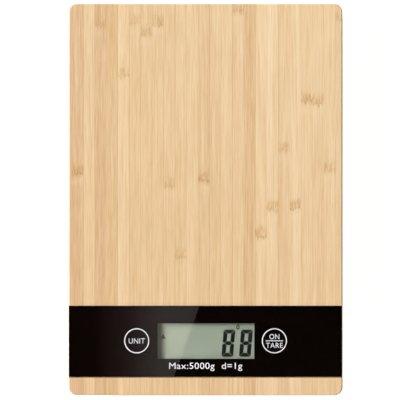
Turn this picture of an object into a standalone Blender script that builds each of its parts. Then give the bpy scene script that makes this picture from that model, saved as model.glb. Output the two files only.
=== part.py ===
"""Kitchen scale with a bamboo weighing board, a flush glass display band and a slim two-part body.

Metres, +Z up. The origin is on the ground under the middle of the scale, the display is at the front, -Y, and
+X is to the right. The platform sinks along Z on a bending-beam load cell, and the battery door swings down.
"""

from math import cos, pi, sin

import bmesh
import bpy
from mathutils import Vector

# Overall sizes
WIDTH = 0.161
LENGTH = 0.230
HEIGHT = 0.018
CORNER_SIDES = 5

# Clearances
FIT = 0.0003  # between pieces that touch
LAYER_FIT = 0.00015  # between thin bonded layers
TRAVEL = 0.001  # how far the platform sinks before it meets its stops
STOP_FIT = 0.0001  # left between the platform and its stops at full travel
SIDE_GAP = 0.001  # between the skirt of the platform and the upstand of the base

# Bamboo board
BOARD_THICKNESS = 0.0058
BOARD_CORNER = 0.005
BOARD_EDGE = 0.0008

# Display band
BAND_DEPTH = 0.0424
BAND_FROM_FRONT = 0.0104
BAND_END_FIT = 0.0001
GLASS_THICKNESS = 0.002
GLASS_EDGE = 0.00025
MASK_THICKNESS = 0.00015
TAPE_THICKNESS = 0.00025
WINDOW_WIDTH = 0.0568
WINDOW_DEPTH = 0.0208
WINDOW_SHIFT_X = 0.0003
WINDOW_SHIFT_Y = 0.0003
POCKET_WIDTH = 0.112
POCKET_DEPTH = 0.032
POCKET_CORNER = 0.003

# Display and its frame
LCD_WIDTH = 0.064
LCD_DEPTH = 0.028
LCD_THICKNESS = 0.002
LCD_RECESS = 0.0024
LCD_LEDGE = 0.0022
FRAME_LIP = 0.0011
LCD_FRAME_WIDTH = 0.069
LCD_VIEW_MARGIN = 0.0015
ZEBRA_END = 0.0018
REFLECTOR_THICKNESS = 0.0002

# Circuit board and what is on it
BOARD_BOSS_HEIGHT = 0.001
BOARD_BOSS_RADIUS = 0.0026
PCB_WIDTH = 0.125
PCB_DEPTH = 0.036
PCB_THICKNESS = 0.0012
PCB_SCREW_X = 0.0595
PCB_SCREW_Y = 0.012
PCB_CORNER = 0.0015
KEY_X = 0.0404
KEY_SHIFT = 0.0004
KEY_SPRING_RADIUS = 0.0044
KEY_SPRING_TOP_RADIUS = 0.0032
KEY_SPRING_WIRE = 0.0003
KEY_SPRING_TURNS = 5
BLOB_RADIUS = 0.0065
BLOB_HEIGHT = 0.0011
CHIP_SIZE = (0.010, 0.004, 0.0015)
CHIP_EDGE = 0.0002
CHIP_X = 0.033

# Body
BODY_INSET = 0.006
BODY_CORNER = 0.008
BODY_EDGE = 0.0012
FRAME_THICKNESS = 0.0016
SKIRT = 0.0016
FOOT_PROUD = 0.0015
FLOOR = 0.0018
WALL = 0.0018
STEP_HEIGHT = 0.004
STEP_GAP = 0.0004
STOP_RADIUS = 0.0028
STOP_FROM_WALL = 0.0006
RIB_WIDTH = 0.0016
RIB_HEIGHT = 0.0026
RIB_X = 0.020
RIB_Y = 0.055
SEAT_CORNER = 0.002
ROOT = 0.0004  # how far a rib or a boss is sunk into what carries it

# Load cell and bracket
CELL_LENGTH = 0.064
CELL_WIDTH = 0.0127
CELL_THICKNESS = 0.006
CELL_EDGE = 0.0003
CELL_HOLE_FROM_END = 0.005
CELL_HOLE_PITCH = 0.010
CELL_EYE_RADIUS = 0.0023
CELL_EYE_Y = 0.008
CELL_SLOT = 0.0012
CELL_SCREW_RADIUS = 0.0017
CELL_SCREW_HEAD = 0.0035
CELL_SCREW_HEAD_HEIGHT = 0.0014
FIXED_HEAD_HEIGHT = 0.0009
BRACKET_THICKNESS = 0.001
BRACKET_WIDTH = 0.064
BRACKET_OVERHANG = 0.008
BRACKET_DEPTH = 0.027
BRACKET_CORNER = 0.003
BRACKET_SCREW_INSET = 0.005
HEAD_ROOM_X = 0.003
HEAD_ROOM_Y = 0.001
HEAD_ROOM_CORNER = 0.002
LOAD_OPENING_MARGIN = 0.004
SEAT_MARGIN = 0.003
GAUGE_SIZE = (0.007, 0.005, 0.0002)
CABLE_RADIUS = 0.001
WIRE_RADIUS = 0.0006
CABLE_BEND = 0.003
CABLE_OFFSET = 0.0055
CABLE_LOW_Y = (-0.020, -0.038)

# Small screws
WOOD_SCREW_RADIUS = 0.0011
WOOD_SCREW_HEAD = 0.0026
WOOD_SCREW_HEAD_HEIGHT = 0.001
WOOD_SCREW_GRIP = 0.0032
PCB_SCREW_RADIUS = 0.0009
PCB_SCREW_HEAD = 0.002
PCB_SCREW_HEAD_HEIGHT = 0.0009
FRAME_SCREW_INSET = 0.0105
FRAME_SCREW_FROM_BAND = 0.0124
FRAME_SCREW_FROM_REAR = 0.029

# Feet
FOOT_RADIUS = 0.007
FOOT_SEAT = 0.0011
FOOT_EDGE = 0.0006
FOOT_INSET_X = 0.0145
FOOT_INSET_Y = 0.015

# Battery bay
COIN_RADIUS = 0.010
COIN_THICKNESS = 0.0032
COIN_LIFT = 0.0006
BAY_X = -0.044
BAY_WIDTH = 0.030
BAY_DEPTH = 0.034
BAY_HINGE_ROOM = 0.003
BAY_WALL = 0.0014
BAY_ROOF = 0.001
NEST_WALL = 0.0012
DOOR_THICKNESS = 0.0015
TONGUE_WIDTH = 0.005
TONGUE_REACH = 0.002
TONGUE_THICKNESS = 0.0011
TONGUE_ROOT = 0.0012
TONGUE_X = 0.009
LATCH_WIDTH = 0.008
LATCH_THICKNESS = 0.001
LATCH_HEIGHT = 0.003
LATCH_INSET = 0.0008
CONTACT_THICKNESS = 0.0003
CONTACT_WIDTH = 0.005
CONTACT_TAIL = 0.006
CONTACT_BLADE_HEIGHT = 0.0024
NAIL_NOTCH = ((0.004, 0.0), (0.0055, 0.0009))
NAIL_NOTCH_INSET = 0.001
GRIP_GROOVE = (0.012, 0.0008, 0.0003)
GRIP_GROOVES = 3
GRIP_FIRST = 0.004
GRIP_PITCH = 0.002
CUTTER_OVERRUN = 0.0001  # how far a shallow cutter stands out of the face that it cuts

# Heights, worked out from the top down and from the ground up
BOARD_Z = HEIGHT - BOARD_THICKNESS
GLASS_Z = HEIGHT - GLASS_THICKNESS
MASK_Z = GLASS_Z - LAYER_FIT - MASK_THICKNESS
TAPE_Z = MASK_Z - LAYER_FIT - TAPE_THICKNESS
GROOVE_Z = TAPE_Z - LAYER_FIT
FRAME_TOP = BOARD_Z - FIT
FRAME_Z = FRAME_TOP - FRAME_THICKNESS
PCB_TOP = FRAME_Z - BOARD_BOSS_HEIGHT - FIT
PCB_Z = PCB_TOP - PCB_THICKNESS
LCD_TOP = MASK_Z - LCD_RECESS
LCD_Z = LCD_TOP - LCD_THICKNESS
BRACKET_TOP = BOARD_Z - FIT
BRACKET_Z = BRACKET_TOP - BRACKET_THICKNESS
CELL_TOP = BRACKET_Z - FIT
CELL_Z = CELL_TOP - CELL_THICKNESS
SEAT_TOP = CELL_Z - FIT
FLOOR_TOP = FOOT_PROUD + FLOOR
STEP_Z = FOOT_PROUD + STEP_HEIGHT
SKIRT_Z = STEP_Z + TRAVEL + STEP_GAP
RIM_Z = FRAME_Z - TRAVEL - FIT
STOP_Z = FRAME_Z - TRAVEL - STOP_FIT
FOOT_TOP = FOOT_PROUD + FOOT_SEAT
FIXED_SEAT = FOOT_PROUD + FIXED_HEAD_HEIGHT + FIT

# Places, worked out from the sizes
BAND_Y = -LENGTH / 2 + BAND_FROM_FRONT + BAND_DEPTH / 2
BODY_WIDTH = WIDTH - 2 * BODY_INSET
BODY_LENGTH = LENGTH - 2 * BODY_INSET
UPSTAND_WIDTH = BODY_WIDTH - 2 * (SKIRT + SIDE_GAP)
UPSTAND_LENGTH = BODY_LENGTH - 2 * (SKIRT + SIDE_GAP)
CAVITY_WIDTH = UPSTAND_WIDTH - 2 * WALL
CAVITY_LENGTH = UPSTAND_LENGTH - 2 * WALL
CELL_END_Y = CELL_LENGTH / 2 - CELL_HOLE_FROM_END
CELL_HOLES_Y = (CELL_END_Y, CELL_END_Y - CELL_HOLE_PITCH)
BRACKET_Y = -CELL_LENGTH / 2 - BRACKET_OVERHANG + BRACKET_DEPTH / 2
BRACKET_SCREW_X = BRACKET_WIDTH / 2 - BRACKET_OVERHANG
BRACKET_SCREW_Y = BRACKET_DEPTH / 2 - BRACKET_SCREW_INSET
PCB_REAR_Y = BAND_Y + PCB_DEPTH / 2
FRAME_SCREW_X = BODY_WIDTH / 2 - FRAME_SCREW_INSET
FRAME_SCREW_FRONT_Y = BAND_Y + BAND_DEPTH / 2 + FRAME_SCREW_FROM_BAND
FRAME_SCREW_REAR_Y = BODY_LENGTH / 2 - FRAME_SCREW_FROM_REAR
FOOT_X = BODY_WIDTH / 2 - FOOT_INSET_X
FOOT_Y = BODY_LENGTH / 2 - FOOT_INSET_Y
STOP_X = CAVITY_WIDTH / 2 - STOP_FROM_WALL - STOP_RADIUS
DOOR_Z = FOOT_PROUD
COIN_Z = DOOR_Z + DOOR_THICKNESS + COIN_LIFT
HINGE_Y = BAY_DEPTH / 2 - FIT
ROUND_SIDES = 24
SMALL_SIDES = 14


# ---------------------------------------------------------------- tools


def clear_scene():
    for old in list(bpy.data.objects):
        bpy.data.objects.remove(old, do_unlink=True)


def make_material(name, colour, roughness, metallic=0.0):
    made = bpy.data.materials.new(name)
    made.use_nodes = True
    shader = made.node_tree.nodes["Principled BSDF"]
    shader.inputs["Base Color"].default_value = (*colour, 1.0)
    shader.inputs["Roughness"].default_value = roughness
    shader.inputs["Metallic"].default_value = metallic
    made.diffuse_color = (*colour, 1.0)
    return made


def outline(width, depth, corner=0.0, sides=CORNER_SIDES):
    """Corner points of a rectangle about the origin, anticlockwise, with round corners where corner is set."""
    centres = ((1, 1, 0), (-1, 1, 1), (-1, -1, 2), (1, -1, 3))
    if not corner:
        return [(x * width / 2, y * depth / 2) for x, y, _ in centres]
    points = []
    for x, y, quarter in centres:
        for step in range(sides + 1):
            angle = (quarter + step / sides) * pi / 2
            points.append(
                (
                    x * (width / 2 - corner) + corner * cos(angle),
                    y * (depth / 2 - corner) + corner * sin(angle),
                )
            )
    return points


def prism(points, height, edge=0.0, edge_steps=2, edges="both"):
    """Mesh of an outline raised from z = 0 to the height, with its top, bottom or both rims rounded by edge."""
    work = bmesh.new()
    base = work.faces.new([work.verts.new((x, y, 0.0)) for x, y in points])
    raised = bmesh.ops.extrude_face_region(work, geom=[base])
    tops = [item for item in raised["geom"] if isinstance(item, bmesh.types.BMVert)]
    bmesh.ops.translate(work, verts=tops, vec=(0.0, 0.0, height))
    bmesh.ops.recalc_face_normals(work, faces=work.faces)
    if edge:
        levels = {"both": (0.0, height), "top": (height,), "bottom": (0.0,)}[edges]
        rims = [
            item
            for item in work.edges
            if any(all(abs(vert.co.z - level) < 1e-7 for vert in item.verts) for level in levels)
        ]
        bmesh.ops.bevel(
            work, geom=rims, offset=edge, segments=edge_steps, profile=0.5, affect="EDGES"
        )
    return finish_mesh(work)


def across(section, width):
    """Mesh of a closed (y, z) section that runs anticlockwise seen from +X, extruded along X about x = 0."""
    work = bmesh.new()
    ends = [[work.verts.new((x, y, z)) for y, z in section] for x in (-width / 2, width / 2)]
    work.faces.new(list(reversed(ends[0])))
    work.faces.new(ends[1])
    for step in range(len(section)):
        after = (step + 1) % len(section)
        work.faces.new((ends[0][step], ends[0][after], ends[1][after], ends[1][step]))
    return finish_mesh(work)


def turned(profile, sides=ROUND_SIDES):
    """Mesh turned about Z from (radius, z) points that run from the bottom of the axis to its top."""
    work = bmesh.new()
    rings = []
    for radius, height in profile:
        angles = [2 * pi * step / sides for step in range(sides)]
        rings.append([work.verts.new((radius * cos(a), radius * sin(a), height)) for a in angles])
    for lower, upper in zip(rings, rings[1:]):
        for step in range(sides):
            after = (step + 1) % sides
            work.faces.new((lower[step], lower[after], upper[after], upper[step]))
    work.faces.new(list(reversed(rings[0])))
    work.faces.new(rings[-1])
    return finish_mesh(work)


def finish_mesh(work):
    mesh = bpy.data.meshes.new("shape")
    work.to_mesh(mesh)
    work.free()
    return mesh


def place(name, data, parent, location=(0.0, 0.0, 0.0), finish=None, smooth=False):
    """Object of this mesh or curve at a world location, held by its parent empty."""
    piece = bpy.data.objects.new(name, data)
    bpy.context.scene.collection.objects.link(piece)
    if smooth:
        data.shade_smooth()
        data.set_sharp_from_angle(angle=pi / 6)
    if finish and not data.materials:
        data.materials.append(finish)
    if parent:
        piece.parent = parent
    piece.location = Vector(location) - (parent.location if parent else Vector())
    return piece


def shape_with(piece, operation, tool):
    """Cuts the tool from the piece or adds it, with a live Boolean, and keeps the tool out of the model."""
    tool.hide_render = True
    tool.display_type = "WIRE"
    step = piece.modifiers.new(tool.name, "BOOLEAN")
    step.operation = operation
    step.object = tool
    step.solver = "EXACT"


def cut(piece, mesh, location):
    tool = place(f"cutter_for_{piece.name}", mesh, None, location)
    shape_with(piece, "DIFFERENCE", tool)


def add(piece, mesh, location):
    tool = place(f"addition_to_{piece.name}", mesh, None, location)
    shape_with(piece, "UNION", tool)


def box(width, depth, height):
    return prism(outline(width, depth), height)


def drill(piece, radius, bottom, top, spots, sides=SMALL_SIDES):
    for x, y in spots:
        cut(piece, turned(((radius, 0.0), (radius, top - bottom)), sides), (x, y, bottom))


def all_corners(x, y, middle_y=0.0):
    return [(side * x, middle_y + end * y) for end in (-1, 1) for side in (-1, 1)]


def smooth_route(points, per_span=5):
    """Points on a Catmull-Rom curve through the given points."""
    knots = [Vector(point) for point in points]
    knots = [2 * knots[0] - knots[1], *knots, 2 * knots[-1] - knots[-2]]
    route = []
    for start in range(1, len(knots) - 2):
        before, first, second, after = knots[start - 1 : start + 3]
        for step in range(per_span):
            t = step / per_span
            route.append(
                0.5
                * (
                    2 * first
                    + (second - before) * t
                    + (2 * before - 5 * first + 4 * second - after) * t**2
                    + (3 * first - before - 3 * second + after) * t**3
                )
            )
    return [*route, knots[-2]]


def tube(name, points, radius, parent, finish, resolution=2):
    curve = bpy.data.curves.new(name, "CURVE")
    curve.dimensions = "3D"
    curve.bevel_depth = radius
    curve.bevel_resolution = resolution
    curve.use_fill_caps = True
    line = curve.splines.new("POLY")
    line.points.add(len(points) - 1)
    for spot, point in zip(line.points, points):
        spot.co = (*(Vector(point) - parent.location), 1.0)
    return place(name, curve, parent, parent.location, finish)


def screws(name, spots, seat, tip, shank, head, head_height, parent, finish):
    """Screws with a shank from the seat to the tip and a head on the far side of the seat from the tip."""
    up = 1 if tip > seat else -1
    profile = [(head, -up * head_height), (head, 0.0), (shank, 0.0), (shank, tip - seat)]
    mesh = turned(profile if up > 0 else profile[::-1], SMALL_SIDES)
    for number, (x, y) in enumerate(spots, 1):
        place(f"{name}_{number}", mesh, parent, (x, y, seat), finish, smooth=True)


# ---------------------------------------------------------------- platform


def make_board(platform, bamboo):
    shape = prism(outline(WIDTH, LENGTH, BOARD_CORNER), BOARD_THICKNESS, BOARD_EDGE)
    board = place("platform_board", shape, platform, (0, 0, BOARD_Z), bamboo)
    cut(board, box(2 * WIDTH, BAND_DEPTH, HEIGHT), (0, BAND_Y, GROOVE_Z))
    pocket = prism(outline(POCKET_WIDTH, POCKET_DEPTH, POCKET_CORNER), HEIGHT)
    cut(board, pocket, (0, BAND_Y, BOARD_Z - FIT))
    room_width = 2 * (CELL_SCREW_HEAD + HEAD_ROOM_X)
    room_depth = CELL_HOLE_PITCH + 2 * (CELL_SCREW_HEAD + HEAD_ROOM_Y)
    room_height = CELL_SCREW_HEAD_HEIGHT + 3 * FIT
    head_room = prism(outline(room_width, room_depth, HEAD_ROOM_CORNER), room_height)
    cut(board, head_room, (0, -sum(CELL_HOLES_Y) / 2, BOARD_Z - FIT))
    pilot_top = BOARD_Z + WOOD_SCREW_GRIP + FIT
    spots = frame_screw_spots() + bracket_screw_spots()
    drill(board, WOOD_SCREW_RADIUS + FIT, BOARD_Z - FIT, pilot_top, spots)


def frame_screw_spots():
    middle = (FRAME_SCREW_FRONT_Y + FRAME_SCREW_REAR_Y) / 2
    rows = (FRAME_SCREW_FRONT_Y, middle, FRAME_SCREW_REAR_Y)
    return [(side * FRAME_SCREW_X, y) for y in rows for side in (-1, 1)]


def bracket_screw_spots():
    return all_corners(BRACKET_SCREW_X, BRACKET_SCREW_Y, BRACKET_Y)


def pcb_screw_spots():
    return all_corners(PCB_SCREW_X, PCB_SCREW_Y, BAND_Y)


def make_display_band(platform, glass, black_film, tape):
    width = WIDTH - 2 * BAND_END_FIT
    depth = BAND_DEPTH - 2 * LAYER_FIT
    pane = prism(outline(width, depth), GLASS_THICKNESS, GLASS_EDGE, 1, "top")
    place("display_glass", pane, platform, (0, BAND_Y, GLASS_Z), glass)
    film = box(width - 2 * FIT, depth - 2 * FIT, MASK_THICKNESS)
    mask = place("display_mask", film, platform, (0, BAND_Y, MASK_Z), black_film)
    window = box(WINDOW_WIDTH, WINDOW_DEPTH, HEIGHT)
    cut(mask, window, (WINDOW_SHIFT_X, BAND_Y + WINDOW_SHIFT_Y, GROOVE_Z))
    sheet = box(width - 4 * FIT, depth - 4 * FIT, TAPE_THICKNESS)
    strip = place("glass_tape", sheet, platform, (0, BAND_Y, TAPE_Z), tape)
    cut(
        strip,
        prism(outline(POCKET_WIDTH, POCKET_DEPTH, POCKET_CORNER), HEIGHT),
        (0, BAND_Y, BOARD_Z),
    )


def make_lcd(platform, clear, silver, black, rubber):
    body = box(LCD_WIDTH, LCD_DEPTH, LCD_THICKNESS)
    lcd = place("lcd_panel", body, platform, (0, BAND_Y, LCD_Z), clear)
    ledge = box(2 * LCD_WIDTH, LCD_LEDGE, LCD_THICKNESS)
    for side in (-1, 1):
        cut(lcd, ledge, (0, BAND_Y + side * LCD_DEPTH / 2, LCD_Z - LCD_THICKNESS / 2))
    zebra_height = LCD_Z + LCD_THICKNESS / 2 - PCB_TOP - 2 * FIT
    zebra_depth = LCD_LEDGE / 2 - FIT
    zebra = box(LCD_WIDTH - 2 * ZEBRA_END, zebra_depth, zebra_height)
    for name, side in (("zebra_strip_front", -1), ("zebra_strip_rear", 1)):
        y = BAND_Y + side * (LCD_DEPTH / 2 - zebra_depth / 2)
        place(name, zebra, platform, (0, y, PCB_TOP + FIT), rubber)
    film = box(LCD_WIDTH - 2 * FIT, LCD_DEPTH - 2 * LCD_LEDGE, REFLECTOR_THICKNESS)
    z = LCD_Z - FIT - REFLECTOR_THICKNESS
    place("lcd_reflector", film, platform, (0, BAND_Y, z), silver)
    bottom = PCB_TOP + FIT
    shell = box(LCD_FRAME_WIDTH, POCKET_DEPTH - 2 * FIT, LCD_TOP + FRAME_LIP - bottom)
    frame = place("lcd_frame", shell, platform, (0, BAND_Y, bottom), black)
    room = box(LCD_WIDTH + 2 * FIT, LCD_DEPTH + 2 * FIT, LCD_TOP + FIT - bottom + FIT)
    cut(frame, room, (0, BAND_Y, bottom - FIT))
    view = box(WINDOW_WIDTH + 2 * LCD_VIEW_MARGIN, WINDOW_DEPTH + 2 * LCD_VIEW_MARGIN, HEIGHT)
    cut(frame, view, (0, BAND_Y, LCD_Z))


def make_circuit(platform, laminate, epoxy, spring_steel, steel):
    sheet = prism(outline(PCB_WIDTH, PCB_DEPTH, PCB_CORNER, 3), PCB_THICKNESS)
    pcb = place("main_board", sheet, platform, (0, BAND_Y, PCB_Z), laminate)
    drill(pcb, PCB_SCREW_RADIUS + FIT, PCB_Z - FIT, PCB_TOP + FIT, pcb_screw_spots())
    angles = [step * pi / 12 for step in range(5, -1, -1)]
    dome = [(BLOB_RADIUS * cos(angle), -BLOB_HEIGHT * sin(angle)) for angle in angles]
    blob = turned(dome, ROUND_SIDES)
    place("controller_blob", blob, platform, (0, BAND_Y, PCB_Z - LAYER_FIT), epoxy, smooth=True)
    length, depth, height = CHIP_SIZE
    chip = prism(outline(length, depth), height, CHIP_EDGE, 1)
    place("adc_chip", chip, platform, (CHIP_X, BAND_Y, PCB_Z - LAYER_FIT - height), epoxy)
    for name, side in (("unit_touch_spring", -1), ("tare_touch_spring", 1)):
        tube(name, touch_spring(side), KEY_SPRING_WIRE, platform, spring_steel, 1)
    screws(
        "circuit_screw",
        pcb_screw_spots(),
        PCB_Z - FIT,
        FRAME_TOP - FIT,
        PCB_SCREW_RADIUS,
        PCB_SCREW_HEAD,
        PCB_SCREW_HEAD_HEIGHT,
        platform,
        steel,
    )


def touch_spring(side):
    """Points of a slightly tapered coil that stands on the circuit board and presses on the display film."""
    per_turn = 12
    bottom = PCB_TOP + FIT + KEY_SPRING_WIRE
    rise = MASK_Z - FIT - KEY_SPRING_WIRE - bottom
    last = KEY_SPRING_TURNS * per_turn
    points = []
    for step in range(last + 1):
        part = step / last
        radius = KEY_SPRING_RADIUS + (KEY_SPRING_TOP_RADIUS - KEY_SPRING_RADIUS) * part
        angle = 2 * pi * step / per_turn
        x = side * KEY_X + radius * cos(angle)
        y = BAND_Y + KEY_SHIFT + radius * sin(angle)
        points.append((x, y, bottom + rise * part))
    return points


def make_upper_frame(platform, black, steel):
    height = FRAME_TOP - SKIRT_Z
    shape = prism(outline(BODY_WIDTH, BODY_LENGTH, BODY_CORNER), height)
    frame = place("upper_frame", shape, platform, (0, 0, SKIRT_Z), black)
    inner = outline(BODY_WIDTH - 2 * SKIRT, BODY_LENGTH - 2 * SKIRT, BODY_CORNER - SKIRT)
    cut(frame, prism(inner, FRAME_Z - SKIRT_Z + FIT), (0, 0, SKIRT_Z - FIT))
    for x, y in pcb_screw_spots():
        boss = turned(((BOARD_BOSS_RADIUS, 0.0), (BOARD_BOSS_RADIUS, BOARD_BOSS_HEIGHT + ROOT)))
        add(frame, boss, (x, y, FRAME_Z - BOARD_BOSS_HEIGHT))
    pocket = prism(outline(POCKET_WIDTH, POCKET_DEPTH, POCKET_CORNER), HEIGHT)
    cut(frame, pocket, (0, BAND_Y, 0))
    opening = outline(
        BRACKET_WIDTH + 2 * LOAD_OPENING_MARGIN,
        CELL_LENGTH + 2 * (BRACKET_OVERHANG + LOAD_OPENING_MARGIN),
        LOAD_OPENING_MARGIN,
    )
    cut(frame, prism(opening, HEIGHT), (0, 0, 0))
    drill(frame, PCB_SCREW_RADIUS + FIT, 0, HEIGHT, pcb_screw_spots())
    drill(frame, WOOD_SCREW_RADIUS + FIT, 0, HEIGHT, frame_screw_spots())
    screws(
        "frame_screw",
        frame_screw_spots(),
        FRAME_Z - FIT,
        BOARD_Z + WOOD_SCREW_GRIP,
        WOOD_SCREW_RADIUS,
        WOOD_SCREW_HEAD,
        WOOD_SCREW_HEAD_HEIGHT,
        platform,
        steel,
    )


def make_bracket(platform, steel):
    sheet = prism(outline(BRACKET_WIDTH, BRACKET_DEPTH, BRACKET_CORNER), BRACKET_THICKNESS)
    bracket = place("load_bracket", sheet, platform, (0, BRACKET_Y, BRACKET_Z), steel)
    live_spots = [(0, -y) for y in CELL_HOLES_Y]
    drill(bracket, CELL_SCREW_RADIUS + FIT, 0, HEIGHT, live_spots)
    drill(bracket, WOOD_SCREW_RADIUS + FIT, 0, HEIGHT, bracket_screw_spots())
    screws(
        "bracket_screw",
        bracket_screw_spots(),
        BRACKET_Z - FIT,
        BOARD_Z + WOOD_SCREW_GRIP,
        WOOD_SCREW_RADIUS,
        WOOD_SCREW_HEAD,
        WOOD_SCREW_HEAD_HEIGHT,
        platform,
        steel,
    )
    screws(
        "live_end_screw",
        live_spots,
        BRACKET_TOP + FIT,
        CELL_Z + CELL_THICKNESS / 4,
        CELL_SCREW_RADIUS,
        CELL_SCREW_HEAD,
        CELL_SCREW_HEAD_HEIGHT,
        platform,
        steel,
    )


# ---------------------------------------------------------------- base


def make_load_cell(base, aluminium, foil, steel):
    bar = prism(outline(CELL_WIDTH, CELL_LENGTH), CELL_THICKNESS, CELL_EDGE, 1)
    cell = place("load_cell", bar, base, (0, 0, CELL_Z), aluminium)
    middle = CELL_Z + CELL_THICKNESS / 2
    for side in (-1, 1):
        eye = place(
            "cutter_for_load_cell",
            turned(((CELL_EYE_RADIUS, -CELL_WIDTH), (CELL_EYE_RADIUS, CELL_WIDTH)), ROUND_SIDES),
            None,
            (0, side * CELL_EYE_Y, middle),
        )
        eye.rotation_euler = (0, pi / 2, 0)
        shape_with(cell, "DIFFERENCE", eye)
    cut(cell, box(2 * CELL_WIDTH, 2 * CELL_EYE_Y, CELL_SLOT), (0, 0, middle - CELL_SLOT / 2))
    spots = [(0, side * y) for y in CELL_HOLES_Y for side in (-1, 1)]
    drill(cell, CELL_SCREW_RADIUS + FIT, 0, HEIGHT, spots)
    gauge = box(*GAUGE_SIZE)
    above = CELL_TOP + LAYER_FIT
    below = CELL_Z - LAYER_FIT - GAUGE_SIZE[2]
    places = [(side * CELL_EYE_Y, z) for z in (above, below) for side in (-1, 1)]
    for number, (y, z) in enumerate(places, 1):
        place(f"strain_gauge_{number}", gauge, base, (0, y, z), foil)
    screws(
        "fixed_end_screw",
        [(0, y) for y in CELL_HOLES_Y],
        FIXED_SEAT - FIT,
        CELL_TOP - CELL_THICKNESS / 4,
        CELL_SCREW_RADIUS,
        CELL_SCREW_HEAD,
        FIXED_HEAD_HEIGHT,
        base,
        steel,
    )


def make_base_shell(base, black):
    lower = prism(outline(BODY_WIDTH, BODY_LENGTH, BODY_CORNER), STEP_HEIGHT, BODY_EDGE, 2, "bottom")
    shell = place("base_shell", lower, base, (0, 0, FOOT_PROUD), black)
    upstand_corner = BODY_CORNER - SKIRT - SIDE_GAP
    upstand = prism(outline(UPSTAND_WIDTH, UPSTAND_LENGTH, upstand_corner), RIM_Z - FLOOR_TOP)
    add(shell, upstand, (0, 0, FLOOR_TOP))
    cavity = prism(outline(CAVITY_WIDTH, CAVITY_LENGTH, upstand_corner - WALL), HEIGHT)
    cut(shell, cavity, (0, 0, FLOOR_TOP))
    add_inner_ribs(shell)
    add_bosses(shell)
    add_battery_bay(shell)
    foot_room = ((FOOT_RADIUS + FIT, 0.0), (FOOT_RADIUS + FIT, FOOT_TOP + FIT))
    for x, y in all_corners(FOOT_X, FOOT_Y):
        cut(shell, turned(foot_room), (x, y, 0))
    spots = [(0, y) for y in CELL_HOLES_Y]
    drill(shell, CELL_SCREW_RADIUS + FIT, 0, HEIGHT, spots)
    drill(shell, CELL_SCREW_HEAD + FIT, 0, FIXED_SEAT, spots, ROUND_SIDES)


def add_inner_ribs(shell):
    rib = box(RIB_WIDTH, CAVITY_LENGTH + 2 * ROOT, RIB_HEIGHT + ROOT)
    reach = CAVITY_WIDTH / 2 + ROOT - RIB_X
    cross = box(reach, RIB_WIDTH, RIB_HEIGHT + ROOT)
    for side in (-1, 1):
        add(shell, rib, (side * RIB_X, 0, FLOOR_TOP - ROOT))
        for end in (-1, 1):
            spot = (side * (RIB_X + reach / 2), end * RIB_Y, FLOOR_TOP - ROOT)
            add(shell, cross, spot)


def add_bosses(shell):
    seat_depth = CELL_HOLE_PITCH + 2 * CELL_HOLE_FROM_END + SEAT_MARGIN
    seat_shape = outline(CELL_WIDTH + 2 * SEAT_MARGIN, seat_depth, SEAT_CORNER)
    seat = prism(seat_shape, SEAT_TOP - FLOOR_TOP + ROOT)
    add(shell, seat, (0, sum(CELL_HOLES_Y) / 2 + SEAT_MARGIN / 2, FLOOR_TOP - ROOT))
    foot_pad = turned(((FOOT_RADIUS + WALL, 0.0), (FOOT_RADIUS + WALL, FOOT_SEAT)))
    stop = turned(((STOP_RADIUS, 0.0), (STOP_RADIUS, STOP_Z - FLOOR_TOP + ROOT)), SMALL_SIDES)
    for x, y in all_corners(FOOT_X, FOOT_Y):
        add(shell, foot_pad, (x, y, FLOOR_TOP - ROOT))
    for x, y in all_corners(STOP_X, FOOT_Y):
        add(shell, stop, (x, y, FLOOR_TOP - ROOT))


def add_battery_bay(shell):
    inner_depth = BAY_DEPTH + BAY_HINGE_ROOM
    middle = BAY_HINGE_ROOM / 2
    block = box(BAY_WIDTH + 2 * BAY_WALL, inner_depth + 2 * BAY_WALL, RIM_Z - FLOOR_TOP + ROOT)
    add(shell, block, (BAY_X, middle, FLOOR_TOP - ROOT))
    room = box(BAY_WIDTH, inner_depth, RIM_Z - BAY_ROOF - FLOOR_TOP)
    cut(shell, room, (BAY_X, middle, FLOOR_TOP))
    nest_z = COIN_Z + ROOT
    nest_radius = COIN_RADIUS + FIT
    nest_height = RIM_Z - BAY_ROOF + ROOT - nest_z
    collar = nest_radius + NEST_WALL
    add(shell, turned(((collar, 0.0), (collar, nest_height))), (BAY_X, 0, nest_z))
    nest = turned(((nest_radius, 0.0), (nest_radius, RIM_Z - BAY_ROOF)))
    cut(shell, nest, (BAY_X, 0, 0))
    cut(shell, box(BAY_WIDTH, BAY_DEPTH, FLOOR_TOP + ROOT), (BAY_X, 0, 0))
    notch_y = -BAY_DEPTH / 2 - NAIL_NOTCH_INSET
    cut(shell, turned(NAIL_NOTCH), (BAY_X, notch_y, FOOT_PROUD - CUTTER_OVERRUN))
    x, z = negative_contact_place()
    slot = box(CONTACT_WIDTH + 2 * FIT, BAY_DEPTH, CONTACT_THICKNESS + 2 * FIT)
    cut(shell, slot, (x, -BAY_DEPTH / 2, z - FIT))
    x, z = positive_contact_place()
    slot_depth = BAY_DEPTH + BAY_WALL + COIN_RADIUS
    side_slot = box(CONTACT_THICKNESS + 2 * FIT, slot_depth, CONTACT_BLADE_HEIGHT + 2 * FIT)
    cut(shell, side_slot, (x, (COIN_RADIUS - BAY_DEPTH) / 2, z - FIT))


def negative_contact_place():
    """X of the contact's middle and Z of its underside."""
    return BAY_X, COIN_Z + COIN_THICKNESS + FIT


def positive_contact_place():
    """X of the contact's middle and Z of its lower edge."""
    return BAY_X + COIN_RADIUS + FIT + CONTACT_THICKNESS / 2, COIN_Z + 2 * FIT


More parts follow.
